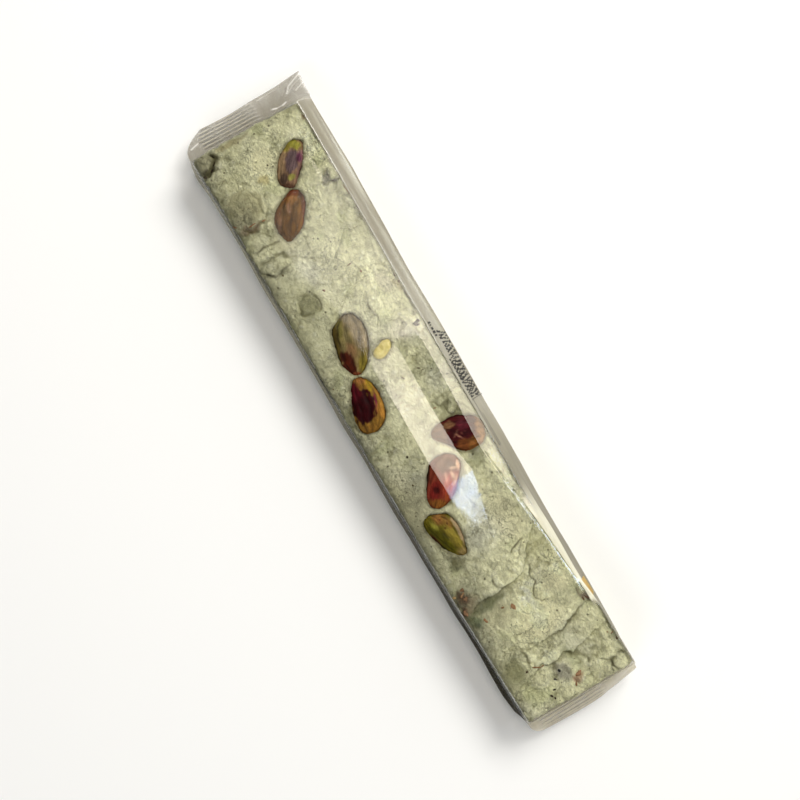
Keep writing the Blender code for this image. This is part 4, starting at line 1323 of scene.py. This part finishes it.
def node_group(name, sockets):
    """An empty geometry node tree with these named inputs, and a maker of its nodes."""
    tree = bpy.data.node_groups.new(name, "GeometryNodeTree")
    identifiers = {}
    for label, kind in (("Geometry", "Geometry"), *sockets):
        socket = tree.interface.new_socket(label, in_out="INPUT", socket_type="NodeSocket" + kind)
        identifiers[label] = socket.identifier
    tree.interface.new_socket("Geometry", in_out="OUTPUT", socket_type="NodeSocketGeometry")
    return tree, identifiers, node_maker(tree)


def made_real(instances, look):
    """Turn instances into plain mesh of one material, as the node tree's result."""
    real = node("GeometryNodeRealizeInstances", {"Geometry": instances}).outputs["Geometry"]
    coated = node("GeometryNodeSetMaterial", {"Geometry": real, "Material": look}).outputs["Geometry"]
    node("NodeGroupOutput", {"Geometry": coated})


def grown(piece, tree, identifiers, values):
    """Run a node tree on a piece with these values and keep the plain mesh it makes."""
    growth = piece.modifiers.new("growth", "NODES")
    growth.node_group = tree
    for label, value in values.items():
        growth[identifiers[label]] = value
    made = bpy.data.meshes.new_from_object(piece.evaluated_get(bpy.context.evaluated_depsgraph_get()))
    piece.modifiers.clear()
    piece.data = made


tree, identifiers, node = node_group("scatter_specks", (
    ("Density", "Float"), ("Smallest", "Float"), ("Largest", "Float"), ("Seed", "Int"), ("Look", "Material"),
))
given = node("NodeGroupInput").outputs
scattered = node("GeometryNodeDistributePointsOnFaces", {
    "Mesh": given["Geometry"], "Density": given["Density"], "Seed": given["Seed"],
}, distribute_method="RANDOM").outputs
scrap = node("GeometryNodeMeshIcoSphere", {"Radius": 0.5, "Subdivisions": 2}).outputs["Mesh"]
size = node("FunctionNodeRandomValue", {
    2: given["Smallest"], 3: given["Largest"], "Seed": given["Seed"],
}, data_type="FLOAT").outputs[1]
stretch = node("FunctionNodeRandomValue", {0: (0.7, 0.5, 0.4), 1: (1.5, 1.0, 0.7)}, data_type="FLOAT_VECTOR")
scale = node("ShaderNodeVectorMath", {0: stretch.outputs["Value"], "Scale": size}, operation="SCALE")
spin = node("FunctionNodeRandomValue", {3: math.tau}, data_type="FLOAT").outputs[1]
turned = node("FunctionNodeAxisAngleToRotation", {"Angle": spin}).outputs["Rotation"]
spun = node("FunctionNodeRotateRotation", {
    "Rotation": scattered["Rotation"], "Rotate By": turned,
}, rotation_space="LOCAL").outputs["Rotation"]
placed = node("GeometryNodeInstanceOnPoints", {
    "Points": scattered["Points"], "Instance": scrap, "Rotation": spun, "Scale": scale.outputs["Vector"],
})
made_real(placed.outputs["Instances"], given["Look"])

specks = bpy.data.objects.new("dark_specks", nougat.data.copy())
bpy.context.scene.collection.objects.link(specks)
grown(specks, tree, identifiers, {
    "Density": SPECKS_PER_SQUARE_METRE,
    "Smallest": SPECK_SIZE[0] * MM,
    "Largest": SPECK_SIZE[1] * MM,
    "Seed": 7,
    "Look": speck_look,
})
specks.data.shade_smooth()
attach(specks, "root")
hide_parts("wrapped_slab")


# ---- The print on the film -----------------------------------------------------------------------
# Small black print along the right side of the film, kept here as plain unreadable dashes in rows, a
# thin outlined box beside them and one plain yellow patch. The ink is a thin layer on the film.
INK_THICKNESS = 0.04
PRINT_ROWS = (0.08, 0.08, 0.22, 0.36, 0.52, 0.70, 0.90)
PRINT_REACH = (
    (-20.4, -15.4), (-7.5, 6.3), (-6.6, 6.3), (-17.0, 5.4), (-16.6, 6.3), (-16.0, 6.3), (-15.6, 6.3),
)
DASH_LENGTHS = (0.3, 0.9)
DASH_GAP = 0.36
DASH_WIDTH = 1.6
BOX_MIDDLE = 14.6
BOX_LENGTH = 16
BOX_LINE = 0.16
PATCH_REACH = (70.8, 76.6)
PATCH_DROP = (0.08, 0.80)

# The film's right side starts after this corner of its cross-section.
SIDE_CORNER = 8
ring_starts = np.cumsum([0] + [ARC_POINTS + count for count in STRAIGHT_POINTS])


def film_side(x, share):
    """A point on the film's right side and its outward direction; share runs from the top edge down."""
    first = ring_starts[SIDE_CORNER] + ARC_POINTS - 1
    last = ring_starts[SIDE_CORNER + 1]
    row = int(np.argmin(np.abs(station_x - x)))
    column = first + share * (last - first)
    step = int(column)
    strip = film_points.reshape(stations, around_count, 3)[row]
    point = strip[step] + (strip[step + 1] - strip[step]) * (column - step)
    run = strip[last] - strip[first]
    facing = np.array((0.0, -run[2], run[1]))
    return np.array((x, point[1], point[2])), facing / np.linalg.norm(facing)


ink_black, node, place = new_material("print_black")
surfaced(blended(speckle(1800, 3, 0.35, 0.65), opaque(22, 20, 17), opaque(44, 41, 36)), 0.5, 0.2)
ink_yellow, node, place = new_material("print_yellow")
surfaced(blended(speckle(900, 3, 0.35, 0.65), opaque(170, 138, 66), opaque(188, 156, 84)), 0.45, 0.2)


def dashed(x, share, length, width):
    """One dash on the film's right side: its place, the way it faces and its size."""
    point, facing = film_side(x, share)
    return point + facing * INK_THICKNESS, facing, (length, width, INK_THICKNESS)


dashes = []
chance = np.random.default_rng(19)
for share, (row_start, row_end) in zip(PRINT_ROWS, PRINT_REACH):
    x = row_start
    while x < row_end:
        length = chance.uniform(*DASH_LENGTHS)
        dashes.append(dashed(x + length / 2, share, length, DASH_WIDTH * chance.uniform(0.55, 1)))
        x += length + DASH_GAP * chance.uniform(0.6, 2.2)
# The box: two long lines and its two ends.
for share in (0.05, 0.24):
    dashes.append(dashed(BOX_MIDDLE, share, BOX_LENGTH, BOX_LINE))
for x, share, width in ((BOX_MIDDLE - BOX_LENGTH / 2, 0.52, 8), (BOX_MIDDLE + BOX_LENGTH / 2, 0.145, 1.6)):
    dashes.append(dashed(x, share, BOX_LINE, width))

tree, identifiers, node = node_group("print_dashes", (("Ink", "Material"),))
given = node("NodeGroupInput").outputs
facing = node("GeometryNodeInputNamedAttribute", {"Name": "facing"}, data_type="FLOAT_VECTOR")
dash_size = node("GeometryNodeInputNamedAttribute", {"Name": "dash_size"}, data_type="FLOAT_VECTOR")
aligned = node("FunctionNodeAlignRotationToVector", {"Vector": facing.outputs["Attribute"]}, axis="Z")
placed = node("GeometryNodeInstanceOnPoints", {
    "Points": given["Geometry"],
    "Instance": node("GeometryNodeMeshCube").outputs["Mesh"],
    "Rotation": aligned.outputs["Rotation"],
    "Scale": dash_size.outputs["Attribute"],
})
made_real(placed.outputs["Instances"], given["Ink"])


def printed(name, dashes, ink):
    """A piece of thin flat dashes, each at a place, facing a way and of a length, width and thickness."""
    places, facings, sizes = (np.array(part) for part in zip(*dashes))
    piece = make_piece(name, places, [], ink)
    store_values(piece, "facing", "vector", facings)
    store_values(piece, "dash_size", "vector", sizes * MM)
    grown(piece, tree, identifiers, {"Ink": ink})
    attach(piece, "root")
    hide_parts("wrapped_slab")


printed("print_dashes", dashes, ink_black)
patch = []
for x in np.arange(*PATCH_REACH, 0.45):
    patch += [dashed(x, share, 0.47, 0.95) for share in np.arange(*PATCH_DROP, 0.1)]
printed("print_patch", patch, ink_yellow)


# ---- The studio ----------------------------------------------------------------------------------
# A plain pale table, a soft window-like light overhead to the right that the film mirrors, and a wide
# fill. The camera looks straight down on the bar. The lamps and the camera are placed in metres.
TABLE_HALF = 1500.0
table_look, node, place = new_material("pale_table")
surfaced((0.93, 0.93, 0.93, 1.0), 0.8, 0.1)
table_corners = np.array([(-1.0, -1.0, 0.0), (1.0, -1.0, 0.0), (1.0, 1.0, 0.0), (-1.0, 1.0, 0.0)])
table = make_piece("table", TABLE_HALF * table_corners, [(0, 1, 2, 3)], table_look)


def softbox(name, at, size, radiance, aim=None):
    """A rectangular light of one brightness, facing straight down or turned to face a point."""
    aim = aim or (at[0], at[1], 0.0)
    lamp = bpy.data.lights.new(name, "AREA")
    lamp.shape = "RECTANGLE"
    lamp.size, lamp.size_y = size
    strength = max(radiance)
    lamp.color = [part / strength for part in radiance]
    lamp.energy = strength * math.pi * size[0] * size[1]
    holder = bpy.data.objects.new(name, lamp)
    bpy.context.scene.collection.objects.link(holder)
    holder.location = at
    away = np.array(at) - np.array(aim)
    turn = math.atan2(away[1], away[0])
    lean = math.atan2(math.hypot(away[0], away[1]), away[2])
    holder.rotation_euler = (0.0, lean, turn)


CEILING = 0.75
softbox("window", (-0.0575, 0.093, CEILING), (0.285, 0.06), (5.9, 5.35, 4.6))
softbox("window right", (-0.0575, 0.168, CEILING), (0.285, 0.09), (4.6, 4.2, 3.5))
softbox("window head", (-0.124, 0.026, CEILING), (0.056, 0.08), (8, 7.8, 7.2))
softbox("window middle", (-0.057, 0.053, CEILING), (0.054, 0.020), (3.6, 3.4, 3))
softbox("window end", (0.1075, 0.088, CEILING), (0.048, 0.084), (8.2, 9.9, 13.8))
softbox("window side", (0.155, 0.215, CEILING), (0.11, 0.10), (7.2, 6.6, 5.6))
softbox("strip", (0.121, 0.44, CEILING), (0.142, 0.06), (13, 15, 16))
softbox("key", (-0.32, 0.66, 0.74), (0.4, 0.6), (12.2, 11.95, 11.3), (0, 0, 0))
softbox("fill", (0.5, -0.8, 0.8), (0.6, 0.8), (2.7, 2.7, 2.6), (0, 0, 0))

world = bpy.data.worlds.new("studio")
bpy.context.scene.world = world
world.use_nodes = True
world.node_tree.nodes.clear()
node = node_maker(world.node_tree)
direction = node("ShaderNodeTexCoord").outputs["Generated"]
split = node("ShaderNodeSeparateXYZ", {"Vector": direction}).outputs
overhead = ranged(split["Z"], 0.25, 0.85, 1, 0.02)
brightness = joined("MULTIPLY", overhead, ranged(split["Y"], -1, 1, 0.25))
sky = node("ShaderNodeBackground", {"Color": (1.0, 1.0, 1.0, 1.0), "Strength": brightness})
node("ShaderNodeOutputWorld", {"Surface": sky.outputs["Background"]})

CAMERA_PLACE = (-0.0042, -0.0020, 0.465)
CAMERA_TURN = math.radians(60.0)
camera_data = bpy.data.cameras.new("camera")
camera_data.lens = 66.8
camera_data.sensor_width = 36.0
camera = bpy.data.objects.new("camera", camera_data)
bpy.context.scene.collection.objects.link(camera)
camera.location = CAMERA_PLACE
camera.rotation_euler = (0.0, 0.0, CAMERA_TURN)
bpy.context.scene.camera = camera
bpy.context.scene.view_settings.view_transform = "Standard"
